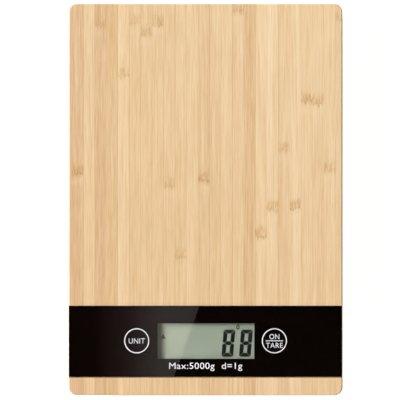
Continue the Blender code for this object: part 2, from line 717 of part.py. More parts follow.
def make_battery_parts(base, steel, nickel, red, black_wire):
    coin_profile = (
        (COIN_RADIUS - 0.0004, 0.0),
        (COIN_RADIUS, 0.0003),
        (COIN_RADIUS, COIN_THICKNESS - 0.0008),
        (COIN_RADIUS - 0.0012, COIN_THICKNESS - 0.0005),
        (COIN_RADIUS - 0.0014, COIN_THICKNESS),
    )
    place("coin_cell", turned(coin_profile, 32), base, (BAY_X, 0, COIN_Z), steel, smooth=True)
    tail_y = -BAY_DEPTH / 2 - BAY_WALL - CONTACT_TAIL
    x, z = negative_contact_place()
    leaf_end = COIN_RADIUS / 2
    leaf = box(CONTACT_WIDTH, leaf_end - tail_y, CONTACT_THICKNESS)
    place("negative_contact", leaf, base, (x, (leaf_end + tail_y) / 2, z), nickel)
    side_x, side_z = positive_contact_place()
    blade_end = COIN_RADIUS * 0.4
    blade = box(CONTACT_THICKNESS, blade_end - tail_y, CONTACT_BLADE_HEIGHT)
    middle = (blade_end + tail_y) / 2
    place("positive_contact", blade, base, (side_x, middle, side_z), nickel)
    wire_z = PCB_Z + PCB_THICKNESS / 2
    start_y = tail_y - FIT
    rise = start_y - PCB_REAR_Y
    ends = {
        "battery_wire_black": (x, z + CONTACT_THICKNESS / 2, x + 0.004, black_wire),
        "battery_wire_red": (side_x, side_z + CONTACT_BLADE_HEIGHT / 2, side_x + 0.002, red),
    }
    for name, (start_x, start_z, end_x, finish) in ends.items():
        route = (
            (start_x, start_y, start_z),
            (start_x, start_y - rise * 0.25, start_z),
            ((start_x + end_x) / 2, start_y - rise * 0.55, wire_z),
            (end_x, start_y - rise * 0.8, wire_z),
            (end_x, PCB_REAR_Y + FIT, wire_z),
        )
        tube(name, smooth_route(route), WIRE_RADIUS, base, finish)


def make_signal_cable(base, grey):
    """Cable from the load cell to the circuit board, low enough to stay clear of the platform at full travel."""
    side = CELL_WIDTH / 2 + FIT
    run = side + CABLE_OFFSET
    middle = CELL_Z + CELL_THICKNESS / 2
    low = FLOOR_TOP + 2 * CABLE_RADIUS
    end_z = RIM_Z - CABLE_RADIUS - FIT
    route = (
        (side, CELL_EYE_Y, middle),
        (side + CABLE_BEND, CELL_EYE_Y, middle),
        (run, 0.0, (middle + low) / 2),
        *((run, y, low) for y in CABLE_LOW_Y),
        (run, (PCB_REAR_Y + CABLE_LOW_Y[-1]) / 2, end_z),
        (run, PCB_REAR_Y + FIT, end_z),
    )
    tube("signal_cable", smooth_route(route), CABLE_RADIUS, base, grey)


def make_feet(base, rubber):
    profile = (
        (FOOT_RADIUS - FOOT_EDGE, 0.0),
        (FOOT_RADIUS, FOOT_EDGE),
        (FOOT_RADIUS, FOOT_TOP),
    )
    mesh = turned(profile)
    names = ("front_left_foot", "front_right_foot", "rear_left_foot", "rear_right_foot")
    for name, (x, y) in zip(names, all_corners(FOOT_X, FOOT_Y)):
        place(name, mesh, base, (x, y, 0), rubber, smooth=True)


# ---------------------------------------------------------------- battery door


def make_battery_door(hinge, black):
    width = BAY_WIDTH - 2 * FIT
    depth = BAY_DEPTH - 2 * FIT
    door = place("battery_door", box(width, depth, DOOR_THICKNESS), hinge, (BAY_X, 0, DOOR_Z), black)
    top = DOOR_Z + DOOR_THICKNESS
    back = -LAYER_FIT
    section = (
        (-TONGUE_ROOT, top - ROOT),
        (back, top - ROOT),
        (back, FLOOR_TOP + FIT),
        (TONGUE_REACH + FIT, FLOOR_TOP + FIT),
        (TONGUE_REACH + FIT, FLOOR_TOP + FIT + TONGUE_THICKNESS),
        (-TONGUE_ROOT, FLOOR_TOP + FIT + TONGUE_THICKNESS),
    )
    for side in (-1, 1):
        add(door, across(section, TONGUE_WIDTH), (BAY_X + side * TONGUE_X, HINGE_Y, 0))
    latch = box(LATCH_WIDTH, LATCH_THICKNESS, LATCH_HEIGHT + ROOT)
    latch_y = -depth / 2 + LATCH_INSET + LATCH_THICKNESS / 2
    add(door, latch, (BAY_X, latch_y, top - ROOT))
    groove_width, groove_depth, groove_height = GRIP_GROOVE
    groove = box(groove_width, groove_depth, groove_height + CUTTER_OVERRUN)
    for number in range(GRIP_GROOVES):
        y = -depth / 2 + GRIP_FIRST + GRIP_PITCH * number
        cut(door, groove, (BAY_X, y, DOOR_Z - CUTTER_OVERRUN))


# ---------------------------------------------------------------- assembly


def make_empty(name, location=(0.0, 0.0, 0.0)):
    empty = bpy.data.objects.new(name, None)
    empty.empty_display_size = 0.01
    bpy.context.scene.collection.objects.link(empty)
    empty.location = location
    return empty


def main():
    clear_scene()
    bamboo = make_material("bamboo", (0.82, 0.58, 0.33), 0.45)
    glass = make_material("display_glass", (0.02, 0.02, 0.022), 0.05)
    film = make_material("black_film", (0.01, 0.01, 0.012), 0.4)
    tape = make_material("foam_tape", (0.6, 0.6, 0.58), 0.8)
    lcd = make_material("lcd_glass", (0.36, 0.42, 0.34), 0.2)
    silver = make_material("reflector_film", (0.7, 0.72, 0.7), 0.3)
    black = make_material("black_abs", (0.02, 0.02, 0.022), 0.5)
    rubber = make_material("black_rubber", (0.03, 0.03, 0.03), 0.8)
    laminate = make_material("green_laminate", (0.03, 0.2, 0.08), 0.45)
    epoxy = make_material("black_epoxy", (0.015, 0.015, 0.015), 0.35)
    steel = make_material("zinc_steel", (0.6, 0.6, 0.58), 0.35, 1.0)
    nickel = make_material("nickel_strip", (0.65, 0.62, 0.55), 0.3, 1.0)
    aluminium = make_material("machined_aluminium", (0.75, 0.76, 0.78), 0.35, 1.0)
    foil = make_material("gauge_film", (0.7, 0.4, 0.1), 0.4)
    grey = make_material("grey_pvc", (0.3, 0.3, 0.32), 0.5)
    red = make_material("red_pvc", (0.5, 0.03, 0.02), 0.45)
    black_wire = make_material("black_pvc", (0.02, 0.02, 0.02), 0.45)

    base = make_empty("base")
    platform = make_empty("platform", (0.0, 0.0, BOARD_Z))
    hinge = make_empty("battery_door_hinge", (BAY_X, HINGE_Y, DOOR_Z))

    make_board(platform, bamboo)
    make_display_band(platform, glass, film, tape)
    make_lcd(platform, lcd, silver, black, rubber)
    make_circuit(platform, laminate, epoxy, nickel, steel)
    make_upper_frame(platform, black, steel)
    make_bracket(platform, steel)
    make_load_cell(base, aluminium, foil, steel)
    make_base_shell(base, black)
    make_battery_parts(base, steel, nickel, red, black_wire)
    make_signal_cable(base, grey)
    make_feet(base, rubber)
    make_battery_door(hinge, black)


if __name__ == "__main__":
    main()
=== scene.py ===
"""Looks of a slim kitchen scale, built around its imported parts.

Metres, +Z up, with the display band towards -Y. Every sub-assembly is a class that takes its places from the
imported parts, and every finish is a frozen dataclass that makes one material.
"""

import logging
import math
from collections.abc import Sequence
from dataclasses import dataclass
from enum import Enum
from typing import Any

import bmesh
import bpy
from bmesh.types import BMesh
from bpy.types import ColorRamp, Material, Mesh, Node, NodeSocket, NodeTree, Object
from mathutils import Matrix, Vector

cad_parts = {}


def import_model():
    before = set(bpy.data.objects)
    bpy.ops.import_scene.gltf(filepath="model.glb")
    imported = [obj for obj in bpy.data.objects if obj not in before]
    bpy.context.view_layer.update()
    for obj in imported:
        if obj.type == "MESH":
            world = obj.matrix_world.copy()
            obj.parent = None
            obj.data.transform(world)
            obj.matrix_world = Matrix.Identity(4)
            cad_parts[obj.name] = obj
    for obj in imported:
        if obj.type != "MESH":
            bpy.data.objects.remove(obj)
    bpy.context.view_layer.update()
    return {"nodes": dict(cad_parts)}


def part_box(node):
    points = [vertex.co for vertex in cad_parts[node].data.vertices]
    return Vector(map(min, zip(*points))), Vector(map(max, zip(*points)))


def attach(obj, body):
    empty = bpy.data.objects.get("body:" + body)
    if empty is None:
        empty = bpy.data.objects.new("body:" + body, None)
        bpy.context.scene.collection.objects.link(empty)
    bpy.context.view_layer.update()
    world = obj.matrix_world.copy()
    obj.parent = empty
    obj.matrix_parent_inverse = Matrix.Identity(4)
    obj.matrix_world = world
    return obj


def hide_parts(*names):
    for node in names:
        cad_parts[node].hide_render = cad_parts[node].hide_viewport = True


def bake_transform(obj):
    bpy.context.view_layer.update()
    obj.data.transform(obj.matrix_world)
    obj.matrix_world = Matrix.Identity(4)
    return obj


MM = 0.001
SMOOTH_UNDER = math.radians(32)
LOG = logging.getLogger("kitchen_scale")

Colour = tuple[float, float, float, float]
Point = tuple[float, float, float]
Flat = tuple[float, float]


# ------------------------------------------------------------------ tools


def linear(code: str) -> Colour:
    """Turns an sRGB hex colour into linear light.

    Args:
        code: six hex digits after a hash sign.

    Returns:
        Red, green, blue and an alpha of 1.
    """
    parts = [int(code[start : start + 2], 16) / 255 for start in (1, 3, 5)]
    light = [part / 12.92 if part <= 0.04045 else ((part + 0.055) / 1.055) ** 2.4 for part in parts]
    return (light[0], light[1], light[2], 1.0)


def add_node(
    tree: NodeTree,
    kind: str,
    settings: dict[str | int, Any] | None = None,
    links: dict[str | int, NodeSocket] | None = None,
) -> Node:
    """Adds one node of any kind, with its settings and its links.

    Args:
        tree: the shader or geometry tree that gets the node.
        kind: the node's type.
        settings: values by name. A name that the node itself has is set there, and any other is an input's name
            or number.
        links: the sockets that feed the node, by the input's name or number.

    Returns:
        The new node.
    """
    node = tree.nodes.new(kind)
    for key, value in (settings or {}).items():
        if isinstance(key, str) and hasattr(node, key):
            setattr(node, key, value)
        else:
            node.inputs[key].default_value = value
    for key, socket in (links or {}).items():
        tree.links.new(socket, node.inputs[key])
    return node


def add_chain(tree: NodeTree, start: NodeSocket, *steps: tuple[str, dict[str | int, Any]]) -> NodeSocket:
    """Adds nodes one after another, each fed at its first input by the one before.

    Args:
        tree: the shader or geometry tree.
        start: the socket that feeds the first node.
        steps: each node's type and settings.

    Returns:
        The last node's first output.
    """
    socket = start
    for kind, settings in steps:
        socket = add_node(tree, kind, settings, {0: socket}).outputs[0]
    return socket


def fill_ramp(ramp: ColorRamp, stops: Sequence[tuple[float, Colour]], stepped: bool = False) -> None:
    """Gives a colour ramp its stops.

    Args:
        ramp: the ramp, as Blender makes it with two stops.
        stops: positions from 0 to 1 in rising order, with their colours.
        stepped: True to hold each colour up to the next stop.
    """
    ramp.interpolation = "CONSTANT" if stepped else "LINEAR"
    ramp.elements.remove(ramp.elements[-1])
    for number, (position, colour) in enumerate(stops):
        stop = ramp.elements[0] if number == 0 else ramp.elements.new(position)
        stop.position = position
        stop.color = colour


def grey(level: float) -> Colour:
    """Gives a neutral ramp colour of this level."""
    return (level, level, level, 1.0)


# ------------------------------------------------------------------ finishes


class Tone(Enum):
    """Colours of pressed bamboo lamellae."""

    DEEP = "#D1A77F"
    AMBER = "#D9B182"
    TAN = "#E1BE92"
    HONEY = "#E6C599"
    CREAM = "#ECCCA1"
    LIGHT = "#F0D1A6"
    PALE = "#F8DCB3"


@dataclass(frozen=True)
class Finish:
    """A material that is made once and then shared."""

    name: str

    def material(self) -> Material:
        """Gives the material, and makes it the first time.

        Returns:
            The Blender material.
        """
        made = bpy.data.materials.get(self.name)
        if made is None:
            made = bpy.data.materials.new(self.name)
            made.use_nodes = True
            tree = made.node_tree
            tree.nodes.clear()
            output = add_node(tree, "ShaderNodeOutputMaterial")
            tree.links.new(self.surface(tree), output.inputs["Surface"])
        return made

    def surface(self, tree: NodeTree) -> NodeSocket:
        """Adds the nodes of the finish.

        Args:
            tree: the material's node tree.

        Returns:
            The shader socket.
        """
        raise NotImplementedError

    def noise(
        self, tree: NodeTree, size_mm: Point, detail: float = 2.0, low: float = 0.3, high: float = 0.7
    ) -> NodeSocket:
        """Adds a noise of a real size in the piece's own coordinates.

        Args:
            tree: the material's node tree.
            size_mm: the size of one patch along each axis.
            detail: how much finer noise is laid over it.
            low: the noise value that becomes 0.
            high: the noise value that becomes 1.

        Returns:
            A value from 0 to 1.
        """
        place = add_node(tree, "ShaderNodeTexCoord").outputs["Object"]
        return add_chain(
            tree,
            place,
            ("ShaderNodeMapping", {"Scale": Vector([1 / (size * MM) for size in size_mm])}),
            ("ShaderNodeTexNoise", {"Scale": 1.0, "Detail": detail, "Roughness": 0.55}),
            ("ShaderNodeMapRange", {"From Min": low, "From Max": high}),
        )

    def skin(
        self,
        tree: NodeTree,
        settings: dict[str | int, Any],
        links: dict[str | int, NodeSocket],
        relief: NodeSocket,
        strength: float,
        depth_mm: float,
    ) -> NodeSocket:
        """Ends an opaque finish: the fine relief and the lit surface over it.

        Args:
            tree: the material's node tree.
            settings: the surface's constants.
            links: the sockets that feed the surface.
            relief: the height of the relief, from 0 to 1.
            strength: how strongly it shows.
            depth_mm: its real depth.

        Returns:
            The shader socket.
        """
        height = {"Strength": strength, "Distance": depth_mm * MM}
        bump = add_node(tree, "ShaderNodeBump", height, {"Height": relief}).outputs[0]
        return add_node(tree, "ShaderNodeBsdfPrincipled", settings, {**links, "Normal": bump}).outputs[0]


@dataclass(frozen=True)
class Lamella:
    """One pressed strip of the board."""

    tone: Tone
    knuckle_mm: float | None = None  # along the board from its middle
    strength: float = 0.8  # of the knuckle's brown marks


@dataclass(frozen=True)
class Streaks:
    """The size of long streaks in the bamboo."""

    width_mm: float
    length_mm: float
    detail: float = 2.0


@dataclass(frozen=True)
class Grain(Streaks):
    """One layer of streaks that tints the bamboo."""

    depth: float = 0.3
    colour: str = "#BE9260"


@dataclass(frozen=True)
class Mark:
    """One pale or brown part of a knuckle."""

    colour: str
    shift_mm: float  # from the knuckle's middle towards the rear
    reach_mm: float  # to where it has faded out on each side
    strength: float
    broken_by: Streaks | None = None


@dataclass(frozen=True)
class PressedBamboo(Finish):
    """Pressed bamboo under satin lacquer: long fibres, thin glue lines between strips and brown knuckles."""

    lamellae: tuple[Lamella, ...] = ()
    first_edge_mm: float = -85.04
    pitch_mm: float = 6.72
    knuckle_span_mm: float = 250.0  # the length that a ramp's 0 to 1 stands for
    grains: tuple[Grain, ...] = (
        # rosy and straw-coloured clouds, pale veins, and dark and pale fibre bundles, drawn coarser than real
        # fibres so that they show
        Grain(4.2, 95.0, 2.0, 0.42, "#D4A57C"),
        Grain(2.4, 60.0, 2.0, 0.32, "#D3B274"),
        Grain(1.6, 44.0, 2.0, 0.34, "#FBE6C2"),
        Grain(0.55, 34.0, 3.0, 0.44, "#BE9260"),
        Grain(0.5, 13.0, 3.0, 0.42, "#FBE3BA"),
    )
    seed_step: float = 3.71  # sets one strip's grain apart from the next
    glue: str = "#A87B4B"
    glue_width_mm: float = 0.42
    glue_depth: float = 0.5
    wander: Streaks = Streaks(1.1, 5.0, 3.0)
    wander_mm: float = 3.6
    marks: tuple[Mark, ...] = (
        # the pale patch before the ring, the brown fibres that fan out behind it, and the thin dark ring itself
        Mark("#F6E2BE", -4.6, 3.6, 0.16),
        Mark("#BE8846", 2.2, 5.6, 0.95, Streaks(0.7, 4.0)),
        Mark("#936838", 0.0, 1.0, 0.75, Streaks(0.9, 1.5)),
    )
    fibre_end: str = "#A9753F"
    fibre_end_mm: float = 0.7
    # painted shade: the colour darkens from the rear towards the front edge, standing in for light falling off
    front_shade: str = "#C98A45"
    front_shade_depth: float = 0.125  # painted shade: how much darker the colour gets at the front edge, where the light falls off
    front_shade_mm: Flat = (110.0, -115.0)  # where the painted shade starts at the rear and is full at the front
    relief_mm: float = 0.05
    roughness: Flat = (0.33, 0.46)

    def surface(self, tree: NodeTree) -> NodeSocket:
        """Adds the bamboo's nodes.

        Args:
            tree: the material's node tree.

        Returns:
            The shader socket.
        """
        coordinates = add_node(tree, "ShaderNodeTexCoord")
        place = coordinates.outputs["Object"]
        parts = add_node(tree, "ShaderNodeSeparateXYZ", links={0: place})
        along_x = add_chain(
            tree,
            parts.outputs[0],
            ("ShaderNodeMath", {"operation": "SUBTRACT", 1: self.first_edge_mm * MM}),
            ("ShaderNodeMath", {"operation": "DIVIDE", 1: self.pitch_mm * MM}),
        )
        number = add_chain(tree, along_x, ("ShaderNodeMath", {"operation": "FLOOR"}))
        colour, knuckle = self.lookups(tree, number)
        seed = add_chain(tree, number, ("ShaderNodeMath", {"operation": "MULTIPLY", 1: self.seed_step}))
        for grain in self.grains:
            fibre = self.streaks(tree, place, seed, grain)
            amount = add_chain(tree, fibre, ("ShaderNodeMath", {"operation": "MULTIPLY", 1: grain.depth}))
            tint = {"data_type": "RGBA", 7: linear(grain.colour)}
            colour = add_node(tree, "ShaderNodeMix", tint, {0: amount, 6: colour}).outputs[2]
        colour = self.glue_lines(tree, along_x, colour)
        colour, mark = self.knuckles(tree, place, parts.outputs[1], seed, knuckle, colour)
        colour = self.end_grain(tree, coordinates, colour)
        # painted shade: darker towards the front edge, where the light falls off
        rear, front = (edge * MM for edge in self.front_shade_mm)
        span = {"From Min": rear, "From Max": front, "To Max": self.front_shade_depth}
        deep = add_chain(tree, parts.outputs[1], ("ShaderNodeMapRange", span))
        tint = {"data_type": "RGBA", 7: linear(self.front_shade)}
        colour = add_node(tree, "ShaderNodeMix", tint, {0: deep, 6: colour}).outputs[2]
        # the finest fibres stand up a little, and the knuckles' rings lie lower
        height = add_node(tree, "ShaderNodeMath", {"operation": "SUBTRACT"}, {0: fibre, 1: mark}).outputs[0]
        smooth, dull = self.roughness
        rough = add_chain(tree, fibre, ("ShaderNodeMapRange", {"To Min": smooth, "To Max": dull}))
        links = {"Base Color": colour, "Roughness": rough}
        return self.skin(tree, {"IOR": 1.5}, links, height, 0.35, self.relief_mm)

    def lookups(self, tree: NodeTree, number: NodeSocket) -> tuple[NodeSocket, NodeSocket]:
        """Adds the ramps that hold each lamella's colour and knuckle.

        Args:
            tree: the material's node tree.
            number: the lamella's number.

        Returns:
            The lamella's colour, and its knuckle's place and strength as red and green.
        """
        count = len(self.lamellae)
        key = add_chain(
            tree,
            number,
            ("ShaderNodeMath", {"operation": "ADD", 1: 0.5}),
            ("ShaderNodeMath", {"operation": "DIVIDE", 1: float(count)}),
        )
        tones, knots = [], []
        for index, lamella in enumerate(self.lamellae):
            tones.append((index / count, linear(lamella.tone.value)))
            where = 0.0
            if lamella.knuckle_mm is not None:
                where = lamella.knuckle_mm / self.knuckle_span_mm + 0.5
            knots.append((index / count, (where, lamella.strength, 0.0, 1.0)))
        found = []
        for stops in (tones, knots):
            ramp = add_node(tree, "ShaderNodeValToRGB", links={0: key})
            fill_ramp(ramp.color_ramp, stops, stepped=True)
            found.append(ramp.outputs[0])
        return found[0], found[1]

    def streaks(self, tree: NodeTree, place: NodeSocket, seed: NodeSocket, size: Streaks) -> NodeSocket:
        """Adds streaks that differ from strip to strip.

        Args:
            tree: the material's node tree.
            place: the piece's own coordinates.
            seed: the number that sets one strip apart from the next.
            size: the streaks' size.

        Returns:
            A value from 0 to 1.
        """
        width, length = 1 / (size.width_mm * MM), 1 / (size.length_mm * MM)
        stretched = add_chain(tree, place, ("ShaderNodeMapping", {"Scale": Vector((width, length, width))}))
        settings = {"noise_dimensions": "4D", "Scale": 1.0, "Detail": size.detail, "Roughness": 0.6}
        noise = add_node(tree, "ShaderNodeTexNoise", settings, {"Vector": stretched, "W": seed}).outputs[0]
        return add_chain(tree, noise, ("ShaderNodeMapRange", {"From Min": 0.36, "From Max": 0.72}))

    def glue_lines(self, tree: NodeTree, along_x: NodeSocket, colour: NodeSocket) -> NodeSocket:
        """Adds the thin brown glue lines, some darker than others.

        Args:
            tree: the material's node tree.
            along_x: the place across the board, counted in lamellae.
            colour: the colour so far.

        Returns:
            The colour with the lines.
        """
        joint = add_chain(tree, along_x, ("ShaderNodeMath", {"operation": "ROUND"}))
        off = add_node(tree, "ShaderNodeMath", {"operation": "SUBTRACT"}, {0: along_x, 1: joint}).outputs[0]
        half = self.glue_width_mm / self.pitch_mm / 2
        line = add_chain(
            tree,
            off,
            ("ShaderNodeMath", {"operation": "ABSOLUTE"}),
            ("ShaderNodeMapRange", {"From Min": half * 0.3, "From Max": half, "To Min": 1.0, "To Max": 0.0}),
        )
        spread = add_node(tree, "ShaderNodeTexWhiteNoise", {"noise_dimensions": "1D"}, {"W": joint}).outputs[0]
        spread = add_chain(tree, spread, ("ShaderNodeMath", {"operation": "MULTIPLY", 1: self.glue_depth}))
        amount = add_node(tree, "ShaderNodeMath", {"operation": "MULTIPLY"}, {0: line, 1: spread}).outputs[0]
        tint = {"data_type": "RGBA", 7: linear(self.glue)}
        return add_node(tree, "ShaderNodeMix", tint, {0: amount, 6: colour}).outputs[2]

    def knuckles(
        self,
        tree: NodeTree,
        place: NodeSocket,
        along_y: NodeSocket,
        seed: NodeSocket,
        knuckle: NodeSocket,
        colour: NodeSocket,
    ) -> tuple[NodeSocket, NodeSocket]:
        """Adds the brown marks where the cane's knuckles were planed flat.

        Args:
            tree: the material's node tree.
            place: the piece's own coordinates.
            along_y: the place along the board.
            seed: the number that sets one strip apart from the next.
            knuckle: the knuckle's place and strength.
            colour: the colour so far.

        Returns:
            The colour with the marks, and how dark the marks are.
        """
        split = add_node(tree, "ShaderNodeSeparateColor", links={0: knuckle})
        middle = add_chain(
            tree,
            split.outputs[0],
            ("ShaderNodeMath", {"operation": "SUBTRACT", 1: 0.5}),
            ("ShaderNodeMath", {"operation": "MULTIPLY", 1: self.knuckle_span_mm * MM}),
        )
        off = add_node(tree, "ShaderNodeMath", {"operation": "SUBTRACT"}, {0: along_y, 1: middle}).outputs[0]
        wave = add_chain(
            tree,
            self.streaks(tree, place, seed, self.wander),
            ("ShaderNodeMath", {"operation": "SUBTRACT", 1: 0.5}),
            ("ShaderNodeMath", {"operation": "MULTIPLY", 1: self.wander_mm * MM}),
        )
        off = add_node(tree, "ShaderNodeMath", {"operation": "ADD"}, {0: off, 1: wave}).outputs[0]
        for mark in self.marks:
            fade = {"From Max": mark.reach_mm * MM, "To Min": mark.strength, "To Max": 0.0}
            near = add_chain(
                tree,
                off,
                ("ShaderNodeMath", {"operation": "SUBTRACT", 1: mark.shift_mm * MM}),
                ("ShaderNodeMath", {"operation": "ABSOLUTE"}),
                ("ShaderNodeMapRange", {"interpolation_type": "SMOOTHSTEP", **fade}),
            )
            shares = [split.outputs[1]]
            if mark.broken_by:
                shares.append(self.streaks(tree, place, seed, mark.broken_by))
            for share in shares:
                links = {0: near, 1: share}
                near = add_node(tree, "ShaderNodeMath", {"operation": "MULTIPLY"}, links).outputs[0]
            tint = {"data_type": "RGBA", 7: linear(mark.colour)}
            colour = add_node(tree, "ShaderNodeMix", tint, {0: near, 6: colour}).outputs[2]
        return colour, near

    def end_grain(self, tree: NodeTree, coordinates: Node, colour: NodeSocket) -> NodeSocket:
        """Adds the dotted fibre ends on the faces that cross the strips.

        Args:
            tree: the material's node tree.
            coordinates: the node with the piece's coordinates.
            colour: the colour so far.

        Returns:
            The colour with the dots.
        """
        facing = add_node(tree, "ShaderNodeSeparateXYZ", links={0: coordinates.outputs["Normal"]})
        end = add_chain(
            tree,
            facing.outputs[1],
            ("ShaderNodeMath", {"operation": "ABSOLUTE"}),
            ("ShaderNodeMapRange", {"From Min": 0.8, "From Max": 0.95}),
        )
        scale = {"Scale": 1 / (self.fibre_end_mm * MM)}
        cells = add_node(tree, "ShaderNodeTexVoronoi", scale, {"Vector": coordinates.outputs["Object"]})
        span = {"From Min": 0.2, "From Max": 0.5, "To Min": 0.6, "To Max": 0.1}
        dots = add_chain(tree, cells.outputs[0], ("ShaderNodeMapRange", span))
        amount = add_node(tree, "ShaderNodeMath", {"operation": "MULTIPLY"}, {0: dots, 1: end}).outputs[0]
        tint = {"data_type": "RGBA", 7: linear(self.fibre_end)}
        return add_node(tree, "ShaderNodeMix", tint, {0: amount, 6: colour}).outputs[2]


@dataclass(frozen=True)
class Mottled(Finish):
    """A finish that drifts between two colours."""

    colour: str
    second: str
    roughness: float = 0.5

    def drift(self, tree: NodeTree, size_mm: Point, *reach: float) -> tuple[NodeSocket, NodeSocket]:
        """Adds the noise and the colour that follows it.

        Args:
            tree: the material's node tree.
            size_mm: the size of one patch along each axis.
            reach: the noise's detail and the values that become 0 and 1.

        Returns:
            The noise from 0 to 1, and the colour.
        """
        share = self.noise(tree, size_mm, *reach)
        blend = {"data_type": "RGBA", 6: linear(self.colour), 7: linear(self.second)}
        return share, add_node(tree, "ShaderNodeMix", blend, {0: share}).outputs[2]


@dataclass(frozen=True)
class Moulded(Mottled):
    """A moulded or extruded plastic or rubber: a faint mottle, a fine grit and a soft sheen."""

    grit_mm: float = 0.45  # drawn coarser than a real mould's grit, so that it shows
    grit_height_mm: float = 0.03
    cloud_mm: Point = (14.0, 14.0, 14.0)
    uneven: float = 0.06  # how far the roughness strays

    def surface(self, tree: NodeTree) -> NodeSocket:
        """Adds the plastic's nodes.

        Args:
            tree: the material's node tree.

        Returns:
            The shader socket.
        """
        _, colour = self.drift(tree, self.cloud_mm, 3.0)
        grit = self.noise(tree, (self.grit_mm, self.grit_mm, self.grit_mm), 1.0)
        span = {"To Min": self.roughness - self.uneven, "To Max": self.roughness + self.uneven}
        rough = add_chain(tree, grit, ("ShaderNodeMapRange", span))
        links = {"Base Color": colour, "Roughness": rough}
        return self.skin(tree, {"IOR": 1.5}, links, grit, 0.5, self.grit_height_mm)


@dataclass(frozen=True)
class Metal(Mottled):
    """A plated, rolled or machined metal: fine streaks along one axis and slight differences in brightness."""

    streak_mm: Point = (0.5, 9.0, 0.5)
    streak_height_mm: float = 0.01
    uneven: Flat = (-0.07, 0.1)  # how far the roughness strays

    def surface(self, tree: NodeTree) -> NodeSocket:
        """Adds the metal's nodes.

        Args:
            tree: the material's node tree.

        Returns:
            The shader socket.
        """
        streak, colour = self.drift(tree, self.streak_mm, 3.0)
        low, high = self.uneven
        span = {"To Min": self.roughness + low, "To Max": self.roughness + high}
        rough = add_chain(tree, streak, ("ShaderNodeMapRange", span))
        links = {"Base Color": colour, "Roughness": rough}
        return self.skin(tree, {"Metallic": 1.0}, links, streak, 0.4, self.streak_height_mm)


@dataclass(frozen=True)
class CellCan(Finish):
    """Nickel-plated steel of a coin cell, turned in fine rings, with the dark ring of its seal."""

    centre: Flat = (0.0, 0.0)
    seal_mm: Flat = (8.65, 9.05)
    fade_mm: float = 0.12
    ramp_mm: float = 12.0  # the radius that the ramp's 1 stands for
    ring_mm: float = 0.35  # drawn coarser than real turning marks, so that they show
    ring_height_mm: float = 0.01

    def surface(self, tree: NodeTree) -> NodeSocket:
        """Adds the can's nodes.

        Args:
            tree: the material's node tree.

        Returns:
            The shader socket.
        """
        place = add_node(tree, "ShaderNodeTexCoord").outputs["Object"]
        x, y = self.centre
        centred = {"Location": Vector((-x, -y, 0.0)), "Scale": Vector((1.0, 1.0, 0.0))}
        mapped = add_chain(tree, place, ("ShaderNodeMapping", centred))
        radius = add_node(tree, "ShaderNodeVectorMath", {"operation": "LENGTH"}, {0: mapped}).outputs["Value"]
        rings = add_chain(
            tree,
            radius,
            ("ShaderNodeMath", {"operation": "MULTIPLY", 1: 2 * math.pi / (self.ring_mm * MM)}),
            ("ShaderNodeMath", {"operation": "SINE"}),
            ("ShaderNodeMapRange", {"From Min": -1.0, "From Max": 1.0}),
        )
        factor = {"operation": "MULTIPLY", 1: 1 / (self.ramp_mm * MM)}
        share = add_chain(tree, radius, ("ShaderNodeMath", factor))
        ramp = add_node(tree, "ShaderNodeValToRGB", links={0: share})
        (inner, outer), fade = self.seal_mm, self.fade_mm
        edges = ((0.0, 0.0), (inner - fade, 0.0), (inner, 1.0), (outer, 1.0), (outer + fade, 0.0))
        fill_ramp(ramp.color_ramp, [(edge / self.ramp_mm, grey(level)) for edge, level in edges])
        blend = {"data_type": "RGBA", 6: linear("#C9C6BE"), 7: linear("#A8A59E")}
        brushed = add_node(tree, "ShaderNodeMix", blend, {0: rings}).outputs[2]
        links = {0: ramp.outputs[0], 6: brushed}
        colour = add_node(tree, "ShaderNodeMix", {"data_type": "RGBA", 7: linear("#2A2A2C")}, links).outputs[2]
        metal = add_chain(tree, ramp.outputs[0], ("ShaderNodeMapRange", {"To Min": 1.0, "To Max": 0.0}))
        links = {"Base Color": colour, "Metallic": metal}
        return self.skin(tree, {"Roughness": 0.3}, links, rings, 0.3, self.ring_height_mm)


@dataclass(frozen=True)
class ClearGlass(Finish):
    """Soda-lime float glass: clear with a faint green cast, and lamps reach what lies under it."""

    tint: str = "#F4F8F5"

    def surface(self, tree: NodeTree) -> NodeSocket:
        """Adds the glass's nodes.

        Args:
            tree: the material's node tree.

        Returns:
            The shader socket.
        """
        body = {"Base Color": linear(self.tint), "Roughness": 0.0, "IOR": 1.52, "Transmission Weight": 1.0}
        glass = add_node(tree, "ShaderNodeBsdfPrincipled", body)
        lamps = add_node(tree, "ShaderNodeLightPath").outputs["Is Shadow Ray"]
        clear = add_node(tree, "ShaderNodeBsdfTransparent", {"Color": linear(self.tint)})
        links = {0: lamps, 1: glass.outputs[0], 2: clear.outputs[0]}
        return add_node(tree, "ShaderNodeMixShader", {}, links).outputs[0]


@dataclass(frozen=True)
class BackInk(Mottled):
    """Opaque screen ink printed on the back of the glass: even, with the faint pinholes of the mesh."""

    mesh_mm: float = 0.4  # drawn coarser than a real screen, so that it shows
    uneven: float = 0.2  # how far the roughness strays

    def surface(self, tree: NodeTree) -> NodeSocket:
        """Adds the ink's nodes.

        Args:
            tree: the material's node tree.

        Returns:
            The shader socket.
        """
        holes, colour = self.drift(tree, (self.mesh_mm, self.mesh_mm, self.mesh_mm), 1.0, 0.45, 0.8)
        span = {"To Min": self.roughness, "To Max": self.roughness + self.uneven}
        rough = add_chain(tree, holes, ("ShaderNodeMapRange", span))
        # the ink touches the glass, so that its face mirrors nothing
        settings = {"IOR": 1.5, "Specular IOR Level": 0.0}
        links = {"Base Color": colour, "Roughness": rough}
        return add_node(tree, "ShaderNodeBsdfPrincipled", settings, links).outputs[0]


